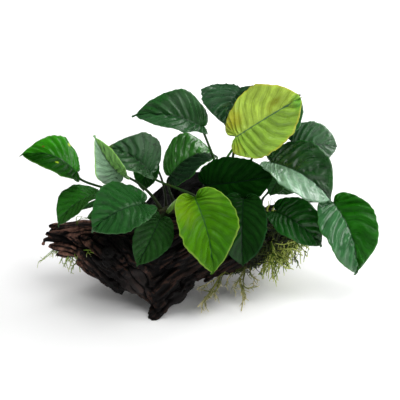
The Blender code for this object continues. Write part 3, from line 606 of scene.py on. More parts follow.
def bladeMaterial(name, look):
    material, tree, shader = newMaterial(name)
    phase = attribute(tree, "bladePhase")
    part = attribute(tree, "bladePart")
    along = attribute(tree, "bladeAlong")
    across = attribute(tree, "bladeAcross")

    half = stretch(tree, across, -0.03, 0.03)
    lamina = blendColour(tree, half, colour(look["minus"]), colour(look["plus"]))
    light = blendColour(tree, half, *(shade(look[key], bladeSkin["light"], bladeSkin["lightTint"],
                                            bladeSkin["lightTinted"]) for key in ("minus", "plus")))
    dark = blendColour(tree, half, *(shade(look[key], bladeSkin["dark"]) for key in ("minus", "plus")))

    # fine streaks that run with the side veins, and a net of small cells between them
    vein = addNode(tree, "CombineXYZ", {"X": multiply(tree, phase, 5.0),
                                        "Y": multiply(tree, part, 1.4), "Z": across})
    streaks = stretch(tree, speckle(tree, 2.6, 3.0, vein.outputs[0]), 0.40, 0.68)
    mottle = stretch(tree, speckle(tree, 75.0, 3.0), 0.38, 0.68)
    cells = addNode(tree, "TexVoronoi", {"Vector": addNode(tree, "TexCoord").outputs["Object"],
                                         "Scale": bladeSkin["cells"]}, feature="DISTANCE_TO_EDGE")
    net = stretch(tree, cells.outputs["Distance"], 0.10, 0.0)
    lamina = blendColour(tree, multiply(tree, streaks, look.get("streaks", 0.5)), lamina, light)
    lamina = blendColour(tree, multiply(tree, mottle, bladeSkin["mottle"]), lamina, dark)
    lamina = blendColour(tree, multiply(tree, net, bladeSkin["net"]), lamina, light)

    # the side veins as thin darker lines
    wave = doMath(tree, "ABSOLUTE", doMath(tree, "SINE", multiply(tree, phase, math.pi)))
    veinLine = stretch(tree, wave, 0.22, 0.0)
    lamina = blendColour(tree, multiply(tree, veinLine, bladeSkin["veinLine"]), lamina, dark)
    # painted highlight along the crests of the swells between the side veins
    crest = multiply(tree, stretch(tree, wave, 0.55, 1.0), stretch(tree, mottle, 0.0, 1.0, 0.3, 0.1))
    lamina = blendColour(tree, crest, lamina, light)

    for spot in look.get("spots", ()):
        # a soft patch at a place on the blade: along, across, its two half sizes, colour, share
        x = doMath(tree, "DIVIDE", doMath(tree, "SUBTRACT", along, spot[0]), spot[2])
        y = doMath(tree, "DIVIDE", doMath(tree, "SUBTRACT", across, spot[1]), spot[3])
        far = doMath(tree, "SQRT", doMath(tree, "ADD", multiply(tree, x, x),
                                          multiply(tree, y, y)))
        far = doMath(tree, "ADD", far, multiply(tree, speckle(tree, 160.0), 0.4))
        share = multiply(tree, stretch(tree, far, 1.6, 0.5), spot[5])
        lamina = blendColour(tree, share, lamina, colour(spot[4]))
    edge = stretch(tree, part, 0.94, 1.0)
    lamina = blendColour(tree, multiply(tree, edge, look.get("edgeShare", 0.6)), lamina,
                         colour(look["edge"]))
    rib = stretch(tree, attribute(tree, "ribDistance"), 0.80, 0.3)
    rib = multiply(tree, rib, stretch(tree, along, 1.0, 0.75))
    ribColour = shade(look["minus"], bladeSkin["ribDark"], bladeSkin["ribTint"], bladeSkin["ribTinted"])
    if "rib" in look:
        ribColour = colour(look["rib"])
    lamina = blendColour(tree, multiply(tree, rib, bladeSkin["rib"]), lamina, ribColour)
    under = attribute(tree, "underside")
    lamina = blendColour(tree, under, lamina, shade(look["minus"], bladeSkin["under"],
                                                    bladeSkin["underTint"], bladeSkin["underTinted"]))
    tree.links.new(lamina, shader.inputs["Base Color"])

    rough = stretch(tree, speckle(tree, 140.0, 2.0), 0.3, 0.7, *bladeSkin["rough"])
    rough = doMath(tree, "ADD", rough, multiply(tree, under, bladeSkin["underRough"]))
    tree.links.new(rough, shader.inputs["Roughness"])
    shader.inputs["IOR"].default_value = bladeSkin["ior"]
    shader.inputs["Specular IOR Level"].default_value = look.get("gloss", 0.32)
    coatPlus, coatMinus = look.get("coat", (0.15, 0.15))
    tree.links.new(stretch(tree, across, -0.03, 0.03, coatMinus, coatPlus), shader.inputs["Coat Weight"])
    shader.inputs["Coat Roughness"].default_value = bladeSkin["coatRough"]
    pores = speckle(tree, bladeSkin["cells"], 2.0)
    height = doMath(tree, "ADD", multiply(tree, streaks, 0.6), multiply(tree, pores, 0.25))
    height = doMath(tree, "SUBTRACT", height, multiply(tree, net, 0.25))
    addBump(tree, shader, height, bladeSkin["bump"], bladeSkin["bumpStrength"])
    return material


# Stalks

stalk = {
    "lowRadius": 1.45, "highRadius": 1.0, "taper": 1.6,      # mm
    "thin": 0.6, "fullBlade": 45.0,                         # thinner under blades shorter than this, mm
    "standOff": 1.0, "arriveAlong": 0.4, "arriveFacing": 0.85, "joint": 1.8,
    "sink": 1.5, "topUnder": 0.35, "topIn": 0.3,            # into the rhizome and the blade, mm
    "knee": 0.35, "kneeBelow": 5.0, "kneeLength": 2.2,      # the thicker joint under the blade
    "topThin": 0.55,                                        # the last ring, inside the blade
    "ridges": 5, "ridgeHeight": 0.035,
    "sides": 14, "steps": 44,
    "sheathLength": 9.0, "sheathWidth": 1.5,                # the sleeve round the stalk's foot
}
rhizome = {
    "path": [(-46, -46, 70), (-24, -38, 75), (4, -31, 78), (30, -27, 75), (57, -21, 67)],
    "radius": 4.6, "sides": 28, "steps": 110, "rings": 5.2,
}


def rhizomeAt(t):
    return curveAt(rhizome["path"], np.atleast_1d(float(t)))[0]


def bezier(a, b, c, d, t):
    t = t[:, None]
    s = 1 - t
    return a * s ** 3 + b * 3 * s * s * t + c * 3 * s * t * t + d * t ** 3


def stalkLine(leaf, count):
    rise = np.array(leaf["rise"], float)
    along = unit(rhizomeAt(min(leaf["crown"] + 0.02, 1.0)) - rhizomeAt(max(leaf["crown"] - 0.02, 0.0)))
    out = unit(rise - along * rise.dot(along))
    start = rhizomeAt(leaf["crown"]) + out * (rhizome["radius"] + stalk["standOff"])
    arrive = unit(leaf["axis"] * stalk["arriveAlong"] + leaf["facing"] * stalk["arriveFacing"]
                  + np.array([0, 0, leaf["lift"]]))
    end = leaf["base"] - arrive * stalk["joint"]
    line = bezier(start, start + rise, end - arrive * leaf["reach"], end, np.linspace(0, 1, count))
    # the foot sinks into the rhizome and the top runs into the blade's keel
    foot = rhizomeAt(leaf["crown"]) + out * (rhizome["radius"] - stalk["sink"])
    top = leaf["base"] - leaf["facing"] * stalk["topUnder"] + leaf["axis"] * stalk["topIn"]
    return np.vstack([foot, line, top])


def tubeFrames(line):
    way = unit(np.gradient(line, axis=0))
    side = np.zeros_like(line)
    first = np.cross(way[0], [0.0, 0.0, 1.0])
    if np.linalg.norm(first) < 0.1:
        first = np.array([1.0, 0.0, 0.0])
    current = unit(first)
    for i, tangent in enumerate(way):
        current = unit(current - tangent * current.dot(tangent))
        side[i] = current
    return way, side, np.cross(way, side)


def tube(line, radii, sides, wobble=None):
    # rings round the line, with rounded ends closed by a point; radii may be (count) or (count, sides)
    _, side, over = tubeFrames(line)
    angle = np.arange(sides) * 2 * math.pi / sides
    radii = np.asarray(radii, float)
    if radii.ndim == 1:
        radii = radii[:, None] * np.ones(sides)
    if wobble is not None:
        radii = radii * wobble
    points = (line[:, None, :] + side[:, None, :] * (np.cos(angle) * radii)[:, :, None]
              + over[:, None, :] * (np.sin(angle) * radii)[:, :, None]).reshape(-1, 3)
    points = np.vstack([points, line[:1], line[-1:]])
    place = np.repeat(np.linspace(0, 1, len(line)), sides)
    return points, tubeFaces(len(line), sides), np.concatenate([place, [0.0, 1.0]])


def buildStalk(leaf, material):
    line = stalkLine(leaf, stalk["steps"] + 1)
    far = lengthAlong(line)
    place = np.linspace(0, 1, len(line))
    scale = stalk["thin"] + (1 - stalk["thin"]) * min(leaf["length"] / stalk["fullBlade"], 1.0)
    radius = scale * (stalk["lowRadius"] + (stalk["highRadius"] - stalk["lowRadius"])
                      * easeStep(0, 1, place * stalk["taper"]))
    sheath = easeStep(stalk["sheathLength"], 0.0, far) * (stalk["sheathWidth"] - 1.0)
    kneePlace = (far - (far[-1] - stalk["kneeBelow"])) / stalk["kneeLength"]
    knee = stalk["knee"] * np.exp(-kneePlace ** 2)
    radius = radius * (1 + sheath + knee)
    radius[-1] *= stalk["topThin"]
    angle = np.arange(stalk["sides"]) * 2 * math.pi / stalk["sides"]
    ridges = 1 + stalk["ridgeHeight"] * np.cos(angle * stalk["ridges"])[None, :] * np.ones((len(line), 1))
    points, faces, along = tube(line, radius, stalk["sides"], ridges)
    spread = np.full(len(points), sum(map(ord, leaf["name"])) % 10 / 10.0)
    return makeMesh("stem_" + leaf["name"], points, faces, {"stemAlong": along, "tone": spread}, material)


# stalks that stand in the dark gap between the leaves get painted shade: a darker copy of the stalk colours
shadedStalks = ("small_left", "centre_left", "centre_dark", "low_front")
stalkLook = {
    "shaded": 0.4, "yellow": 5.0,       # brightness of the stalks with painted shade and of the yellow leaf's own
    "low": "1e290c", "middle": "224414", "high": "1c4012", "warm": "3a3012",
}


def stalkMaterial(name, brightness):
    material, tree, shader = newMaterial(name)
    along = attribute(tree, "stemAlong")
    tone = attribute(tree, "tone")
    keys = ("low", "middle", "high", "warm")
    low, middle, high, warmer = (shade(stalkLook[key], brightness) for key in keys)
    skin = blendColour(tree, stretch(tree, along, 0.05, 0.5), low, middle)
    skin = blendColour(tree, stretch(tree, along, 0.5, 1.0), skin, high)
    patches = stretch(tree, speckle(tree, 70.0, 3.0), 0.5, 0.75)
    warm = multiply(tree, patches, doMath(tree, "ADD", multiply(tree, tone, 0.7), 0.1))
    skin = blendColour(tree, warm, skin, warmer)
    tree.links.new(skin, shader.inputs["Base Color"])
    shader.inputs["Roughness"].default_value = 0.5
    shader.inputs["Specular IOR Level"].default_value = 0.2
    addBump(tree, shader, speckle(tree, 900.0, 3.0), 0.1, 0.6)
    return material


def buildLeaves():
    stalkSkin = stalkMaterial("stalkSkin", 1.0)
    # painted shade: the shaded stalks take the stalk colours at lower brightness
    paintedShadeSkin = stalkMaterial("stalkSkinShaded", stalkLook["shaded"])
    yellowSkin = stalkMaterial("stalkSkinYellow", stalkLook["yellow"])
    slots = {"front_centre": "leaf_bright", "yellow_top": "leaf_yellow"}
    for name in leaves:
        leaf = readLeaf(name)
        item = buildBlade(leaf, bladeMaterial("blade_" + name, bladeLooks[name]))
        slot = slots.get(name, "leaf")
        settle(item, slot, "leaf_" + name)
        skin = paintedShadeSkin if name in shadedStalks else stalkSkin
        skin = yellowSkin if name == "yellow_top" else skin
        settle(buildStalk(leaf, skin), "stalk", "stalk_" + name)
    print("leaves ready:", len(leaves))


# Rhizome and young leaf

def buildRhizome():
    steps, sides = rhizome["steps"], rhizome["sides"]
    place = np.linspace(0, 1, steps + 1)
    line = curveAt(rhizome["path"], place)
    far = lengthAlong(line)
    # the scars of old leaves ring the stem
    ring = far / rhizome["rings"]
    collar = 1 + 0.10 * (ring - np.floor(ring)) ** 2
    ends = np.sqrt(np.clip(1 - np.abs(2 * place - 1) ** 14, 0.05, 1))
    angle = np.arange(sides) * 2 * math.pi / sides
    lumps = softNoise(np.stack([np.repeat(far, sides) / 5, np.tile(np.cos(angle), steps + 1) * 1.2,
                                np.tile(np.sin(angle), steps + 1) * 1.2], 1), 5).reshape(steps + 1, sides)
    points, faces, along = tube(line, rhizome["radius"] * collar * ends, sides, 1 + 0.10 * lumps)
    material, tree, shader = newMaterial("rhizomeSkin")
    skin = blendColour(tree, stretch(tree, speckle(tree, 160.0, 4.0), 0.35, 0.65), colour("1c2c0e"),
                       colour("33301a"))
    skin = blendColour(tree, stretch(tree, speckle(tree, 420.0, 3.0), 0.55, 0.7), skin, colour("120d08"))
    tree.links.new(skin, shader.inputs["Base Color"])
    shader.inputs["Roughness"].default_value = 0.6
    addBump(tree, shader, speckle(tree, 700.0, 4.0), 0.3, 0.8)
    settle(makeMesh("rhizome_stem", points, faces, {"stemAlong": along}, material), "rhizome", "rhizome")
    print("rhizome ready")


youngLeaf = {"path": [(-27, -46, 77), (-23, -51, 85), (-17, -59, 97)], "radii": [1.5, 2.2, 0.3],
             "sides": 24, "steps": 60}


def buildYoungLeaf():
    steps, sides = youngLeaf["steps"], youngLeaf["sides"]
    place = np.linspace(0, 1, steps + 1)
    line = curveAt(youngLeaf["path"], place)
    radius = curveAt([(r, 0.0) for r in youngLeaf["radii"]], place)[:, 0]
    # a rolled blade: one edge laps over the other along a slow spiral
    angle = np.arange(sides) / sides
    lap = (angle[None, :] + place[:, None] * 0.7) % 1.0
    points, faces, along = tube(line, np.maximum(radius, 0.12), sides, 0.86 + 0.22 * lap)
    material, tree, shader = newMaterial("youngBlade")
    upLeaf = attribute(tree, "stemAlong")
    skin = blendColour(tree, stretch(tree, upLeaf, 0.1, 0.9), colour("6f9a44"), colour("8fbe4c"))
    skin = blendColour(tree, multiply(tree, stretch(tree, speckle(tree, 300.0), 0.4, 0.7), 0.4),
                       skin, colour("4f8a2a"))
    tree.links.new(skin, shader.inputs["Base Color"])
    shader.inputs["Roughness"].default_value = 0.35
    shader.inputs["Coat Weight"].default_value = 0.3
    addBump(tree, shader, speckle(tree, 900.0), 0.08, 0.6)
    settle(makeMesh("rolled_leaf", points, faces, {"stemAlong": along}, material), "young_leaf",
           "young_leaf")
    print("young leaf ready")


shoots = [
    ([(57.5, -36, 69), (56.5, -36, 75.4), (58.1, -36, 79.2), (57.1, -36, 83.8)], 1.1),
    ([(60.0, -35, 69), (60.8, -36, 72.6), (63.1, -36, 80.1), (62.2, -36, 82.9)], 1.0),
    ([(62.5, -35, 70), (63.3, -36, 73.5), (64.9, -36, 77.3), (63.9, -36, 81)], 0.8),
]


def buildShoots():
    # small new shoots at the right end of the creeping stem
    parts = []
    for route, thick in shoots:
        place = np.linspace(0, 1, 18)
        points, faces, _ = tube(curveAt(route, place), thick * (1.15 - place), 10)
        parts.append((points, faces))
    points, faces = stackMeshes(parts)
    material, tree, shader = newMaterial("shootSkin")
    skin = blendColour(tree, stretch(tree, speckle(tree, 260.0), 0.35, 0.65), colour("8a9a24"),
                       colour("b4c048"))
    tree.links.new(skin, shader.inputs["Base Color"])
    shader.inputs["Roughness"].default_value = 0.4
    addBump(tree, shader, speckle(tree, 900.0), 0.08, 0.6)
    settle(makeMesh("young_shoots", points, faces, None, material), "young_leaf")
    print("shoots ready:", len(shoots))


# Driftwood

# stations along each limb: x, y, z, half depth, half height. The front foot and the left limb differ
# a little from the solids and end narrower. The other limbs are the same.
limbs = {
    "trunk": [(-72, -48, 40, 12, 12), (-62, -49, 39, 23, 22), (-44, -48, 40, 27, 27),
              (-20, -43, 42, 29, 29), (4, -37, 45, 25, 27), (15, -34, 46, 18, 19), (24, -32, 46, 9, 9)],
    "frontFoot": [(-28, -46, 34, 30, 16), (-33, -59, 29, 35, 16), (-34, -68, 23, 32, 14),
                  (-32, -76, 16, 22, 12), (-33, -82, 8, 9, 7), (-36, -84.5, 3, 5, 5),
                  (-38, -86, -4, 4.5, 4.5)],
    "leftLimb": [(-128, -40, 53, 5, 4), (-118, -38, 52, 11, 9), (-100, -39, 48, 17, 15),
                 (-83, -45, 42, 24, 21), (-66, -49, 39, 27, 27), (-50, -49, 39, 20, 20)],
    "rightLimb": [(-8, -37, 46, 14, 14), (6, -36, 46, 28, 29), (28, -31, 46, 26, 27),
                  (46, -25, 48, 22, 21), (62, -20, 47, 18, 17), (74, -17, 46, 14, 13), (85, -14, 46, 8, 8)],
    "upperArm": [(-46, -28, 42, 14, 14), (-38, -4, 54, 14, 13), (-20, 15, 66, 12, 12),
                 (4, 26, 72, 10, 10), (26, 32, 76, 6, 6)],
    "rearRootLeft": [(-68, -38, 42, 18, 17), (-76, -14, 32, 16, 14), (-83, 6, 17, 12, 10),
                     (-85, 20, 5, 10, 8), (-89, 30, -6, 8, 7)],
    "rearRootRight": [(38, -22, 47, 18, 18), (48, 0, 37, 17, 15), (56, 18, 20, 13, 11),
                      (64, 32, 6, 10, 9), (71, 41, -6, 8, 8)],
}
# split ends and splinters: points along each, then its radius at the start and at the tip
splinters = [
    ([(-112, -44, 53), (-124, -46, 57), (-130, -46, 58)], 3.6, 1.3),
    ([(-114, -46, 50), (-127, -47, 52), (-132, -46, 50), (-132.5, -47, 46.5)], 2.6, 1.2),
    ([(-110, -50, 46), (-122, -52, 48), (-127, -52, 49)], 4.0, 1.2),
    ([(-104, -52, 42), (-116, -54, 42), (-121, -55, 41)], 3.6, 1.0),
    ([(-112, -36, 57), (-122, -37, 60), (-128, -38, 60.5)], 3.4, 1.2),
    ([(-90, -58, 35), (-97, -61, 35), (-103, -62, 38)], 2.6, 0.6),
    ([(-90, -62, 40), (-87, -67, 33), (-84, -66, 22.5)], 4.5, 0.8),
    ([(-86, -62, 36), (-85, -66, 29), (-86, -67, 25)], 3.0, 0.8),
    ([(-78, -66, 36), (-75, -71, 28), (-67.5, -73, 17), (-63.6, -73, 12.4)], 5.0, 1.9),
    ([(-66, -72, 24), (-60, -75, 18), (-56, -77, 16)], 4.0, 1.4),
    ([(-58, -74, 24), (-51, -78, 19), (-46, -80, 14)], 3.6, 1.2),
    ([(-36, -79, 10), (-38, -86, 5.5), (-41, -87.5, 3.6)], 4.0, 2.6),
    ([(-33, -78, 10), (-35, -85, 4), (-35.5, -87, 1.5)], 4.0, 2.2),
    ([(-14, -62, 30), (-8, -68, 22), (-12, -72, 17)], 5.0, 1.6),
    ([(4, -54, 32), (9, -60, 25), (4, -62, 21)], 4.5, 1.4),
    ([(24, -46, 32), (29, -52, 26), (24, -55, 24)], 4.5, 1.2),
]
wood = {
    "voxel": 0.95,              # mm
    "sides": 48, "steps": 48, "splinterSides": 12, "splinterSteps": 16, "smoothing": 3,
    "square": 2.6, "footSquare": 1.7,                   # 2 is a round section, higher is squarer
    "cleft": 4.2, "cleftSpacing": 9.0, "cleftWidth": 0.10, "cleftRun": 10.0,        # mm, and times as long
    "ridge": 1.3, "ridgeSpacing": 4.2, "ridgeRun": 18.0,
    "fibre": 0.80, "fibreSpacing": 1.9, "fibreRun": 24.0,
    "lump": 1.3, "lumpSpacing": 24.0,
    "warp": 1.4, "warpSpacing": 40.0,
    "sharpGrain": 2.5,          # higher, one line's grain gives way to the next more abruptly
    "face": ((-52, -76, 27), 17.0),                     # the flat weathered face
    "knots": [((-75, -71.7, 53.4), 5.2), ((-76.3, -74.4, 45.0), 4.2)],
    "hollow": [((-60, -78, 11), 12.0, 5.0), ((-24, -82, 8), 9.0, 2.5)],
    "redSpot": ((-44.9, -74.6, 37.3), 2.4),
}
# lines that the grain follows, and how far each one counts, mm
grainLines = {
    "left": ([(-140, -44, 55), (-120, -44, 52.5), (-102, -46, 49), (-84, -52, 42), (-68, -62, 31),
              (-53, -74, 17), (-40, -84, 0)], 14),
    "right": ([(-44, -88, -8), (-26, -78, 8), (-6, -66, 20), (20, -54, 33), (50, -40, 48),
               (94, -18, 68)], 18),
    "top": ([(-112, -38, 56), (-80, -40, 58), (-40, -34, 62), (0, -26, 66), (50, -14, 66)], 12),
    "arm": ([(-52, -30, 44), (-38, -4, 54), (-20, 15, 66), (4, 26, 72), (26, 32, 76)], 12),
    "rearLeft": ([(-66, -30, 40), (-76, -14, 32), (-83, 6, 17), (-85, 20, 5), (-89, 30, -6)], 13),
    "rearRight": ([(38, -18, 45), (48, 0, 37), (56, 18, 20), (64, 32, 6), (71, 41, -6)], 13),
}


def limbTube(stations, steps, sides, square=wood["square"]):
    place = np.linspace(0, 1, steps + 1)
    read = curveAt(stations, place)
    centre, size = read[:, :3], np.maximum(read[:, 3:], 0.5)
    way = unit(np.gradient(centre, axis=0))
    side = unit(np.cross(way, [0.0, 0.0, 1.0]))
    over = np.cross(side, way)
    angle = np.arange(sides) * 2 * math.pi / sides
    c, s = np.cos(angle), np.sin(angle)
    square = (np.abs(c) ** square + np.abs(s) ** square) ** (-1 / square)
    points = (centre[:, None, :] + side[:, None, :] * (c * square * size[:, :1])[:, :, None]
              + over[:, None, :] * (s * square * size[:, 1:])[:, :, None]).reshape(-1, 3)
    return np.vstack([points, centre[:1], centre[-1:]]), tubeFaces(steps + 1, sides)


def fuse(name, points, faces, voxel, smoothing):
    # join overlapping closed forms into one skin
    item = makeMesh(name, points, faces)
    remesh = item.modifiers.new("fuse", "REMESH")
    remesh.mode = "VOXEL"
    remesh.voxel_size = voxel * mm
    smooth = item.modifiers.new("soften", "SMOOTH")
    smooth.iterations = smoothing
    smooth.factor = 0.5
    bpy.context.view_layer.update()
    ready = item.evaluated_get(bpy.context.evaluated_depsgraph_get())
    mesh = bpy.data.meshes.new_from_object(ready)
    count = len(mesh.vertices)
    place, normals = np.zeros(count * 3), np.zeros(count * 3)
    mesh.vertices.foreach_get("co", place)
    mesh.vertices.foreach_get("normal", normals)
    fused = [list(p.vertices) for p in mesh.polygons]
    bpy.data.objects.remove(item, do_unlink=True)
    return place.reshape(-1, 3) / mm + layoutCentre, normals.reshape(-1, 3), fused


def grainAlong(points, line):
    # how far each point lies along a grain line, across it and above it, and its distance from it
    centre = curveAt(line, np.linspace(0, 1, 140))
    way = unit(np.gradient(centre, axis=0))
    side = unit(np.cross(way, [0.0, 0.0, 1.0]))
    over = np.cross(side, way)
    run = lengthAlong(centre)
    square = (points ** 2).sum(1)[:, None] - 2 * points @ centre.T + (centre ** 2).sum(1)[None, :]
    nearest = square.argmin(axis=1)
    away = points - centre[nearest]
    place = np.stack([run[nearest] + (away * way[nearest]).sum(1), (away * side[nearest]).sum(1),
                      (away * over[nearest]).sum(1)], 1)
    return place, np.sqrt(np.maximum(square.min(axis=1), 0.0))


def grainNoise(place, run, spacing, seed):
    return softNoise(place / (np.array([run, 1.0, 1.0]) * spacing), seed)


def nearShare(points, centre, reach):
    # 1 at the centre, 0 beyond the reach
    far = np.linalg.norm(points - np.array(centre, float), axis=1)
    return easeStep(reach, reach * 0.35, far)


def buildWood():
    parts = []
    for name, stations in limbs.items():
        square = wood["footSquare"] if name == "frontFoot" else wood["square"]
        parts.append(limbTube(stations, wood["steps"], wood["sides"], square))
    for line, thick, thin in splinters:
        radii = np.linspace(thick, thin, len(line))
        stations = [(*at, r, r) for at, r in zip(line, radii)]
        parts.append(limbTube(stations, wood["splinterSteps"], wood["splinterSides"]))
    points, normals, faces = fuse("driftwood", *stackMeshes(parts), wood["voxel"], wood["smoothing"])

    warped = np.stack([softNoise(points / wood["warpSpacing"], 40 + k) for k in range(3)], 1)
    at = points + warped * wood["warp"]
    places = []
    shares = np.zeros((len(points), len(grainLines)))
    for number, (line, reach) in enumerate(grainLines.values()):
        place, far = grainAlong(at, line)
        places.append(place)
        shares[:, number] = np.exp(-wood["sharpGrain"] * (far / reach) ** 2) + 1e-9 / (1 + far)
    shares /= shares.sum(axis=1, keepdims=True)
    height = np.zeros(len(points))
    groove = np.zeros(len(points))
    crest = np.zeros(len(points))
    grainPlace = np.zeros_like(points)
    for number, place in enumerate(places):
        near = shares[:, number] > 0.005
        share = shares[near, number]
        place = place[near]
        deep = grainNoise(place, wood["cleftRun"], wood["cleftSpacing"], 10 + number)
        ridge = np.abs(grainNoise(place, wood["ridgeRun"], wood["ridgeSpacing"], 20 + number))
        fibre = np.abs(grainNoise(place, wood["fibreRun"], wood["fibreSpacing"], 30 + number))
        cleft = np.clip(1 - np.abs(deep) / wood["cleftWidth"], 0, 1) ** 1.3
        ridge, fibre = np.minimum(ridge * 3.2, 1.3), np.minimum(fibre * 3.2, 1.3)
        height[near] += share * (wood["ridge"] * (ridge - 0.5) + wood["fibre"] * (fibre - 0.5)
                                 - wood["cleft"] * cleft)
        groove[near] += share * cleft
        crest[near] += share * (0.65 * ridge + 0.35 * fibre)
        grainPlace[near] += share[:, None] * place

    height *= 1 - 0.55 * easeStep(-100, -122, points[:, 0])
    plain = 1 - 0.75 * nearShare(points, *wood["face"])
    knotTone = np.zeros(len(points))
    for centre, reach in wood["knots"]:
        far = np.linalg.norm(points - np.array(centre, float), axis=1) / reach
        inside = easeStep(1.15, 0.85, far)
        rings = 0.35 * np.sin(far * 14.0) + 1.6 - 2.6 * np.exp(-((far - 1.12) / 0.14) ** 2)
        plain = plain * (1 - inside)
        height = height * (1 - inside) + rings * easeStep(1.5, 0.9, far)
        knotTone = np.maximum(knotTone, inside)
        crest = crest * (1 - inside) + 0.5 * inside
    height *= np.maximum(plain, 0.25) * (1 - knotTone) + knotTone
    for centre, reach, depth in wood["hollow"]:
        height -= depth * nearShare(points, centre, reach)
    height += wood["lump"] * softNoise(points / wood["lumpSpacing"], 7)
    points = points + normals * height[:, None]
    points[:, 2] = np.maximum(points[:, 2], 0.0)

    warm = easeStep(-78, -112, points[:, 0]) + 0.12 * easeStep(-20, 0, points[:, 0])
    warm = np.clip(warm + 1.6 * nearShare(points, *wood["redSpot"]), 0, 1.6)
    # painted shade: the middle and the right part are painted darker, and the arm behind the leaves nearly
    # black
    dark = 0.12 * easeStep(-104, -84, points[:, 0]) * easeStep(8, -12, points[:, 0])
    dark = np.maximum(dark, 0.45 * easeStep(-28, -8, points[:, 0]))
    dark = np.maximum(dark, easeStep(-34, -16, points[:, 1]) * easeStep(38, 52, points[:, 2]))
    attributes = {"groove": groove, "crest": crest, "warm": warm, "grainPlace": grainPlace * 0.1,
                  "worn": 0.75 * nearShare(points, *wood["face"]), "paintedShadeShare": dark}
    item = makeMesh("driftwood_form", points, faces, attributes, woodMaterial())
    settle(item, "driftwood", "wood_trunk", "wood_front_foot", "wood_left_limb", "wood_right_limb",
           "wood_upper_arm", "wood_rear_root_left", "wood_rear_root_right")
    print("driftwood ready:", len(points), "points")
    return points, faces, np.array([tuple(v.normal) for v in item.data.vertices])


woodLook = {
    "dark": "020101", "body": "0c0706", "crest": "4a3228", "red": "906859", "grey": "4c4645",
    "upFacingGrey": "3c3734",
    "crestShare": 0.8, "greyShare": 0.65, "upFacingGreyShare": 0.5,      # how strongly each one covers
    "drawnOut": 0.055,                                          # the fibres' pattern along the grain
    "gloss": 0.17, "bump": 1.1, "bumpStrength": 0.9,            # bump in mm
}


def woodMaterial():
    material, tree, shader = newMaterial("driftwoodBark")
    grain = addNode(tree, "Attribute", attribute_name="grainPlace", attribute_type="GEOMETRY")
    drawn = addNode(tree, "VectorMath", {0: grain.outputs["Vector"], 1: (woodLook["drawnOut"], 1.0, 1.0)},
                    operation="MULTIPLY").outputs["Vector"]
    fibres = speckle(tree, 7.0, 6.0, drawn, 0.62)
    hairs = speckle(tree, 26.0, 3.0, drawn, 0.6)
    broad = speckle(tree, 34.0, 3.0)
    medium = speckle(tree, 150.0, 4.0, roughness=0.6)
    crest = attribute(tree, "crest")
    warm = attribute(tree, "warm")
    worn = attribute(tree, "worn")
    tone = doMath(tree, "ADD", crest, multiply(tree, doMath(tree, "SUBTRACT", fibres, 0.5), 1.6))
    skin = blendColour(tree, stretch(tree, tone, 0.15, 0.75), colour(woodLook["dark"]),
                       colour(woodLook["body"]))
    # painted highlight: the ridge tops are painted a lighter brown
    high = multiply(tree, stretch(tree, tone, 0.72, 1.2), stretch(tree, broad, 0.36, 0.58))
    skin = blendColour(tree, multiply(tree, high, woodLook["crestShare"]), skin, colour(woodLook["crest"]))
    red = multiply(tree, stretch(tree, tone, 0.45, 1.1), warm)
    red = multiply(tree, red, stretch(tree, medium, 0.35, 0.62))
    skin = blendColour(tree, red, skin, colour(woodLook["red"]))
    skin = blendColour(tree, multiply(tree, worn, woodLook["greyShare"]), skin, colour(woodLook["grey"]))
    # paler grey in patches on faces that point up
    normal = addNode(tree, "NewGeometry").outputs["Normal"]
    upward = addNode(tree, "SeparateXYZ", {"Vector": normal}).outputs["Z"]
    paleUpFacing = multiply(tree, stretch(tree, upward, 0.3, 0.95), stretch(tree, broad, 0.5, 0.66))
    paleUpFacing = multiply(tree, paleUpFacing, stretch(tree, hairs, 0.35, 0.65))
    skin = blendColour(tree, multiply(tree, paleUpFacing, woodLook["upFacingGreyShare"]), skin, colour(woodLook["upFacingGrey"]))
    # painted shade on the middle, the right part and the arm behind the leaves
    skin = blendColour(tree, attribute(tree, "paintedShadeShare"), skin, colour(woodLook["dark"]))
    # painted shade in the clefts: their deepest parts take the darkest wood colour
    black = stretch(tree, attribute(tree, "groove"), 0.10, 0.5)
    skin = blendColour(tree, black, skin, colour(woodLook["dark"]))
    tree.links.new(skin, shader.inputs["Base Color"])
    tree.links.new(stretch(tree, fibres, 0.3, 0.7, 0.48, 0.78), shader.inputs["Roughness"])
    shader.inputs["Specular IOR Level"].default_value = woodLook["gloss"]
    height = doMath(tree, "ADD", multiply(tree, fibres, 0.8), multiply(tree, hairs, 0.35))
    height = doMath(tree, "ADD", height, multiply(tree, medium, 0.25))
    addBump(tree, shader, height, woodLook["bump"], woodLook["bumpStrength"])
    return material


# Moss and roots

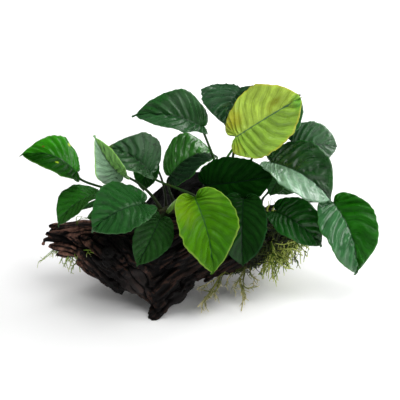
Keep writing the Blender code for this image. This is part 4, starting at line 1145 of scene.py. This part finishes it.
growths = {
    "moss_right_tangle": {
        "node": "moss_right", "seed": 3, "strands": 230, "creeps": True, "twigs": 4,
        "box": ((40, -54, 20), (92, -6, 64)), "facing": (0.1, -0.8, 0.0),
        "length": (12, 34), "radius": (0.36, 0.55), "lift": (1.0, 8.0), "curl": 0.50, "fork": 0.4,
        "droop": 0.02, "colours": ("040a01", "0e1d05", "46580e")},
    "moss_right_fringe": {
        "node": "moss_fringe_right", "seed": 4, "strands": 82, "creeps": False, "twigs": 9,
        "box": ((56, -44, 22), (92, -8, 50)), "facing": (0.3, -0.6, -0.7),
        "length": (14, 30), "radius": (0.56, 0.78), "droop": 0.36, "curl": 0.60, "fork": 1.6,
        "colours": ("0e2205", "5c7a0c", "d0d870")},
    "moss_left_fan": {
        "node": "moss_left", "seed": 5, "strands": 20, "creeps": False, "twigs": 4,
        "box": ((-124, -60, 30), (-98, -34, 47)), "facing": (-0.2, -0.5, -0.9),
        "length": (5, 13), "radius": (0.34, 0.48), "droop": 0.30, "curl": 0.34, "fork": 1.0,
        "colours": ("3f6a18", "8aa83a", "d8dca0"),
        "routes": [
            ([(-121.2, -50, 45.8), (-126.6, -52, 41), (-132, -52, 36.2), (-136.4, -52, 33.3)], 0.42),
            ([(-121.2, -50, 46.5), (-129.2, -52, 40), (-134.7, -52, 34.3)], 0.34),
            ([(-113, -50, 44), (-116.7, -52, 37.1), (-119.6, -52, 31.4)], 0.5),
            ([(-106.2, -51, 43.5), (-108.3, -52, 35.2), (-111.4, -52, 26)], 0.75),
            ([(-111.4, -50, 42), (-113.5, -52, 34.3), (-111.6, -52, 23.6)], 0.36),
            ([(-108.7, -51, 43.5), (-113.5, -52, 33.3), (-115.5, -52, 29.4)], 0.6),
            ([(-104, -40, 62), (-102, -40, 67.5), (-97, -40, 68), (-91.9, -40, 67.5),
              (-91.3, -40, 62)], 0.32),
            ([(-104, -40, 63), (-104.5, -40, 68.9), (-101, -40, 70.3), (-94.4, -40, 68)], 0.30),
            ([(-96.9, -61, 49.3), (-92.7, -64, 51.2), (-88.6, -64.5, 50.3), (-85.5, -63, 46)], 0.45),
            ([(-95.4, -61, 47), (-91, -64, 49.3), (-87, -65, 48.4), (-84, -66, 50)], 0.40),
        ]},
}
strand = {"steps": 12, "sides": 5}
twig = {"length": (1.6, 4.2), "droop": 0.05, "curl": 0.3, "steps": 4, "thick": 0.62, "thin": 0.40}


def drawWay(draw, size=1.0):
    return np.array([draw.uniform(-size, size) for _ in range(3)])


def growLine(draw, start, heading, length, droop, curl, steps):
    points = [np.array(start, float)]
    way = unit(heading)
    lean = drawWay(draw)
    for _ in range(steps):
        way = unit(way + (drawWay(draw) * 0.6 + lean * 0.5) * curl + np.array([0, 0, -droop]))
        points.append(points[-1] + way * length / steps)
    line = np.array(points)
    line[:, 2] = np.maximum(line[:, 2], 0.5)
    return line


def creepLine(draw, skin, start, length, lift, curl, steps):
    # a strand that runs over the wood and arches off it between its two ends
    points = []
    at = Vector(start)
    way = drawWay(draw)
    lean = drawWay(draw)
    for i in range(steps + 1):
        found, out, _, _ = skin.find_nearest(at)
        out = np.array(out)
        height = 0.3 + lift * math.sin(math.pi * i / steps) ** 0.8
        points.append(np.array(found) + out * height)
        way = unit(way + (drawWay(draw) * 0.7 + lean * 0.5) * curl)
        way = unit(way - out * way.dot(out))
        at = Vector(np.array(found) + way * length / steps)
    return np.array(points)


def strandMesh(name, lines, material):
    # lines are (points, start radius, end radius, tone)
    parts, along, tone = [], [], []
    for line, thick, thin, value in lines:
        points, faces, place = tube(line, np.linspace(thick, thin, len(line)), strand["sides"])
        parts.append((points, faces))
        along.append(place)
        tone.append(np.full(len(points), value))
    attributes = {"strandAlong": np.concatenate(along), "tone": np.concatenate(tone)}
    return makeMesh(name, *stackMeshes(parts), attributes, material)


def strandMaterial(name, colours):
    material, tree, shader = newMaterial(name)
    along = attribute(tree, "strandAlong")
    tone = attribute(tree, "tone")
    low, middle, tip = (colour(c) for c in colours)
    skin = blendColour(tree, stretch(tree, along, 0.0, 0.5), low, middle)
    skin = blendColour(tree, stretch(tree, along, 0.45, 1.0), skin, tip)
    skin = blendColour(tree, multiply(tree, stretch(tree, tone, 0.45, 0.0), 0.85), skin, low)
    skin = blendColour(tree, multiply(tree, stretch(tree, tone, 0.75, 1.0), 0.7), skin, tip)
    skin = blendColour(tree, multiply(tree, speckle(tree, 500.0), 0.25), skin, middle)
    tree.links.new(skin, shader.inputs["Base Color"])
    shader.inputs["Roughness"].default_value = 0.55
    shader.inputs["Specular IOR Level"].default_value = 0.3
    addBump(tree, shader, speckle(tree, 1500.0), 0.05, 0.5)
    return material


def addTwigs(draw, lines, line, thick, value, count):
    # short side shoots, as moss carries all along its strands
    for _ in range(count):
        at = draw.randrange(2, len(line) - 1)
        way = unit(line[at] - line[at - 1])
        side = unit(np.cross(way, drawWay(draw)))
        shoot = growLine(draw, line[at], way * 0.6 + side, draw.uniform(*twig["length"]), twig["droop"],
                         twig["curl"], twig["steps"])
        paler = min(value + draw.uniform(0.0, 0.35), 1.0)
        lines.append((shoot, thick * twig["thick"], thick * twig["thin"], paler))


def addForks(draw, lines, line, thick, value, growth):
    forks = int(growth["fork"]) + (draw.random() < growth["fork"] % 1)
    for _ in range(forks):
        at = draw.randrange(2, len(line) - 2)
        side = unit(line[at + 1] - line[at]) + drawWay(draw, 0.9)
        length = draw.uniform(0.25, 0.55) * np.linalg.norm(np.diff(line, axis=0), axis=1).sum()
        fork = growLine(draw, line[at], side, length, growth["droop"], growth["curl"], 6)
        lines.append((fork, thick * 0.75, thick * 0.4, min(value + 0.15, 1.0)))
    addTwigs(draw, lines, line, thick, value, growth["twigs"])


def buildGrowths(woodPoints, woodFaces, woodNormals):
    skin = BVHTree.FromPolygons([tuple(p) for p in woodPoints], woodFaces)
    for name, growth in growths.items():
        draw = random.Random(growth["seed"])
        low, high = np.array(growth["box"], float)
        inBox = np.all((woodPoints > low) & (woodPoints < high), axis=1)
        toward = woodNormals @ unit(growth["facing"]) > 0.0
        anchors = np.nonzero(inBox & toward)[0]
        lines = []
        for route, thick in growth.get("routes", ()):
            line = curveAt(route, np.linspace(0, 1, 14))
            value = draw.uniform(0.4, 0.8)
            lines.append((line, thick, thick * 0.5, value))
            addForks(draw, lines, line, thick, value, growth)
        for _ in range(growth["strands"]):
            pick = anchors[draw.randrange(len(anchors))]
            out = woodNormals[pick]
            length = draw.uniform(*growth["length"])
            thick = draw.uniform(*growth["radius"])
            value = draw.random()
            if growth["creeps"]:
                lift = draw.uniform(*growth["lift"]) * draw.random()
                line = creepLine(draw, skin, woodPoints[pick], length, lift, growth["curl"], strand["steps"])
            else:
                start = woodPoints[pick] - out * 0.5
                line = growLine(draw, start, out + drawWay(draw, 0.9), length, growth["droop"],
                                growth["curl"], strand["steps"])
            lines.append((line, thick, thick * 0.45, value))
            addForks(draw, lines, line, thick, value, growth)
        item = strandMesh(name, lines, strandMaterial(name, growth["colours"]))
        settle(item, "moss", growth["node"])
        print(name, "ready:", len(lines), "strands")


# main threads of each spray: places in mm, then the thread's radius
roots = {
    "roots_centre_spray": {
        "node": "roots_centre", "seed": 6,
        "threads": [
            ([(32, -44, 34), (22, -56.5, 27.1), (10.1, -63.1, 21.2), (-3.4, -69, 15.9)], 0.75),
            ([(26, -48, 32), (16.9, -59.8, 24.1), (10.9, -67.7, 17.1), (3.3, -75.5, 10.1),
              (-1.7, -80.1, 6.1)], 0.85),
            ([(16.9, -59.8, 24.1), (10.9, -67.7, 17.1), (5.9, -73.5, 11.8), (1.7, -78.8, 7.2),
              (1.7, -84, 2.7)], 0.7),
            ([(18, -58, 25), (14.3, -67, 17.6), (10, -71.6, 13.6), (5, -75.5, 10.1),
              (4.2, -81.4, 4.9)], 0.65),
            ([(20, -56, 27), (16, -66.3, 18.2), (12.6, -70.3, 14.7), (14.2, -74.8, 10.6)], 0.55),
            ([(10.1, -63.1, 21.2), (2.5, -66.3, 18.2), (-2.5, -67.7, 17.1)], 0.45),
        ]},
    "roots_right_spray": {
        "node": "roots_right", "seed": 7,
        "threads": [
            ([(46, -40, 38), (38.2, -52.8, 27.9), (33.8, -59.8, 21.2), (35.3, -67.4, 14), (36, -74.9, 6.8),
              (34.2, -80, 2.1)], 0.85),
            ([(40, -46, 31), (36.3, -62.3, 18.8), (40.4, -65.5, 15.8), (44.7, -64.2, 17),
              (45.2, -61.1, 20)], 0.7),
            ([(44, -44, 35), (42.4, -55.4, 25.5), (45.7, -59.2, 21.8), (49.9, -60.4, 20.6)], 0.6),
            ([(40, -46, 31), (36.4, -56, 24.9), (31.2, -62.9, 18.2), (28.6, -66.1, 15.2),
              (30.3, -68.6, 12.7)], 0.6),
            ([(35.4, -63.6, 17.6), (37.8, -69.3, 12.2), (38.6, -73.1, 8.6)], 0.5),
            ([(36, -44, 33), (32.3, -50.9, 29.8), (27.1, -56, 24.9), (22.8, -61.1, 20),
              (21.9, -64.8, 16.3)], 0.6),
            ([(34.6, -60.4, 20.6), (30.4, -61.7, 19.4), (27.8, -63.6, 17.6)], 0.45),
        ]},
}


rootThread = {
    "copies": 2, "points": 22, "copyThin": 0.6, "drift": (0.4, 2.2),        # mm, the first and the others
    "forks": 5, "forkLength": (3, 9), "forkDroop": 0.12, "forkCurl": 0.42, "forkSteps": 7,
}


def buildRoots():
    material = strandMaterial("rootSkin", ("3a4218", "6f7432", "d8cda0"))
    for name, root in roots.items():
        draw = random.Random(root["seed"])
        lines = []
        for route, thick in root["threads"]:
            for copy in range(rootThread["copies"]):
                end = 1 if copy == 0 else draw.uniform(0.6, 0.95)
                place = np.linspace(0, end, rootThread["points"])
                line = curveAt(route, place)
                drift = drawWay(draw, rootThread["drift"][min(copy, 1)])
                wave = drawWay(draw, 0.5)
                line = line + drift * place[:, None] ** 1.3 + wave * np.sin(place * 17)[:, None] * 0.8
                line[:, 2] = np.maximum(line[:, 2], 0.8)
                radius = thick * (1.0 if copy == 0 else rootThread["copyThin"])
                value = draw.uniform(0.3, 0.8)
                lines.append((line, radius, radius * 0.62, value))
                for _ in range(rootThread["forks"]):
                    at = draw.randrange(4, 19)
                    side = unit(line[at + 1] - line[at]) + drawWay(draw, 0.9)
                    fork = growLine(draw, line[at], side, draw.uniform(*rootThread["forkLength"]),
                                    rootThread["forkDroop"], rootThread["forkCurl"],
                                    rootThread["forkSteps"])
                    lines.append((fork, radius * 0.62, radius * 0.4, draw.uniform(0.3, 0.9)))
        settle(strandMesh(name, lines, material), "roots", root["node"])
        print(name, "ready:", len(lines), "threads")


makeStudio()
buildLeaves()
buildRhizome()
buildYoungLeaf()
buildShoots()
buildGrowths(*buildWood())
buildRoots()

bpy.context.view_layer.update()
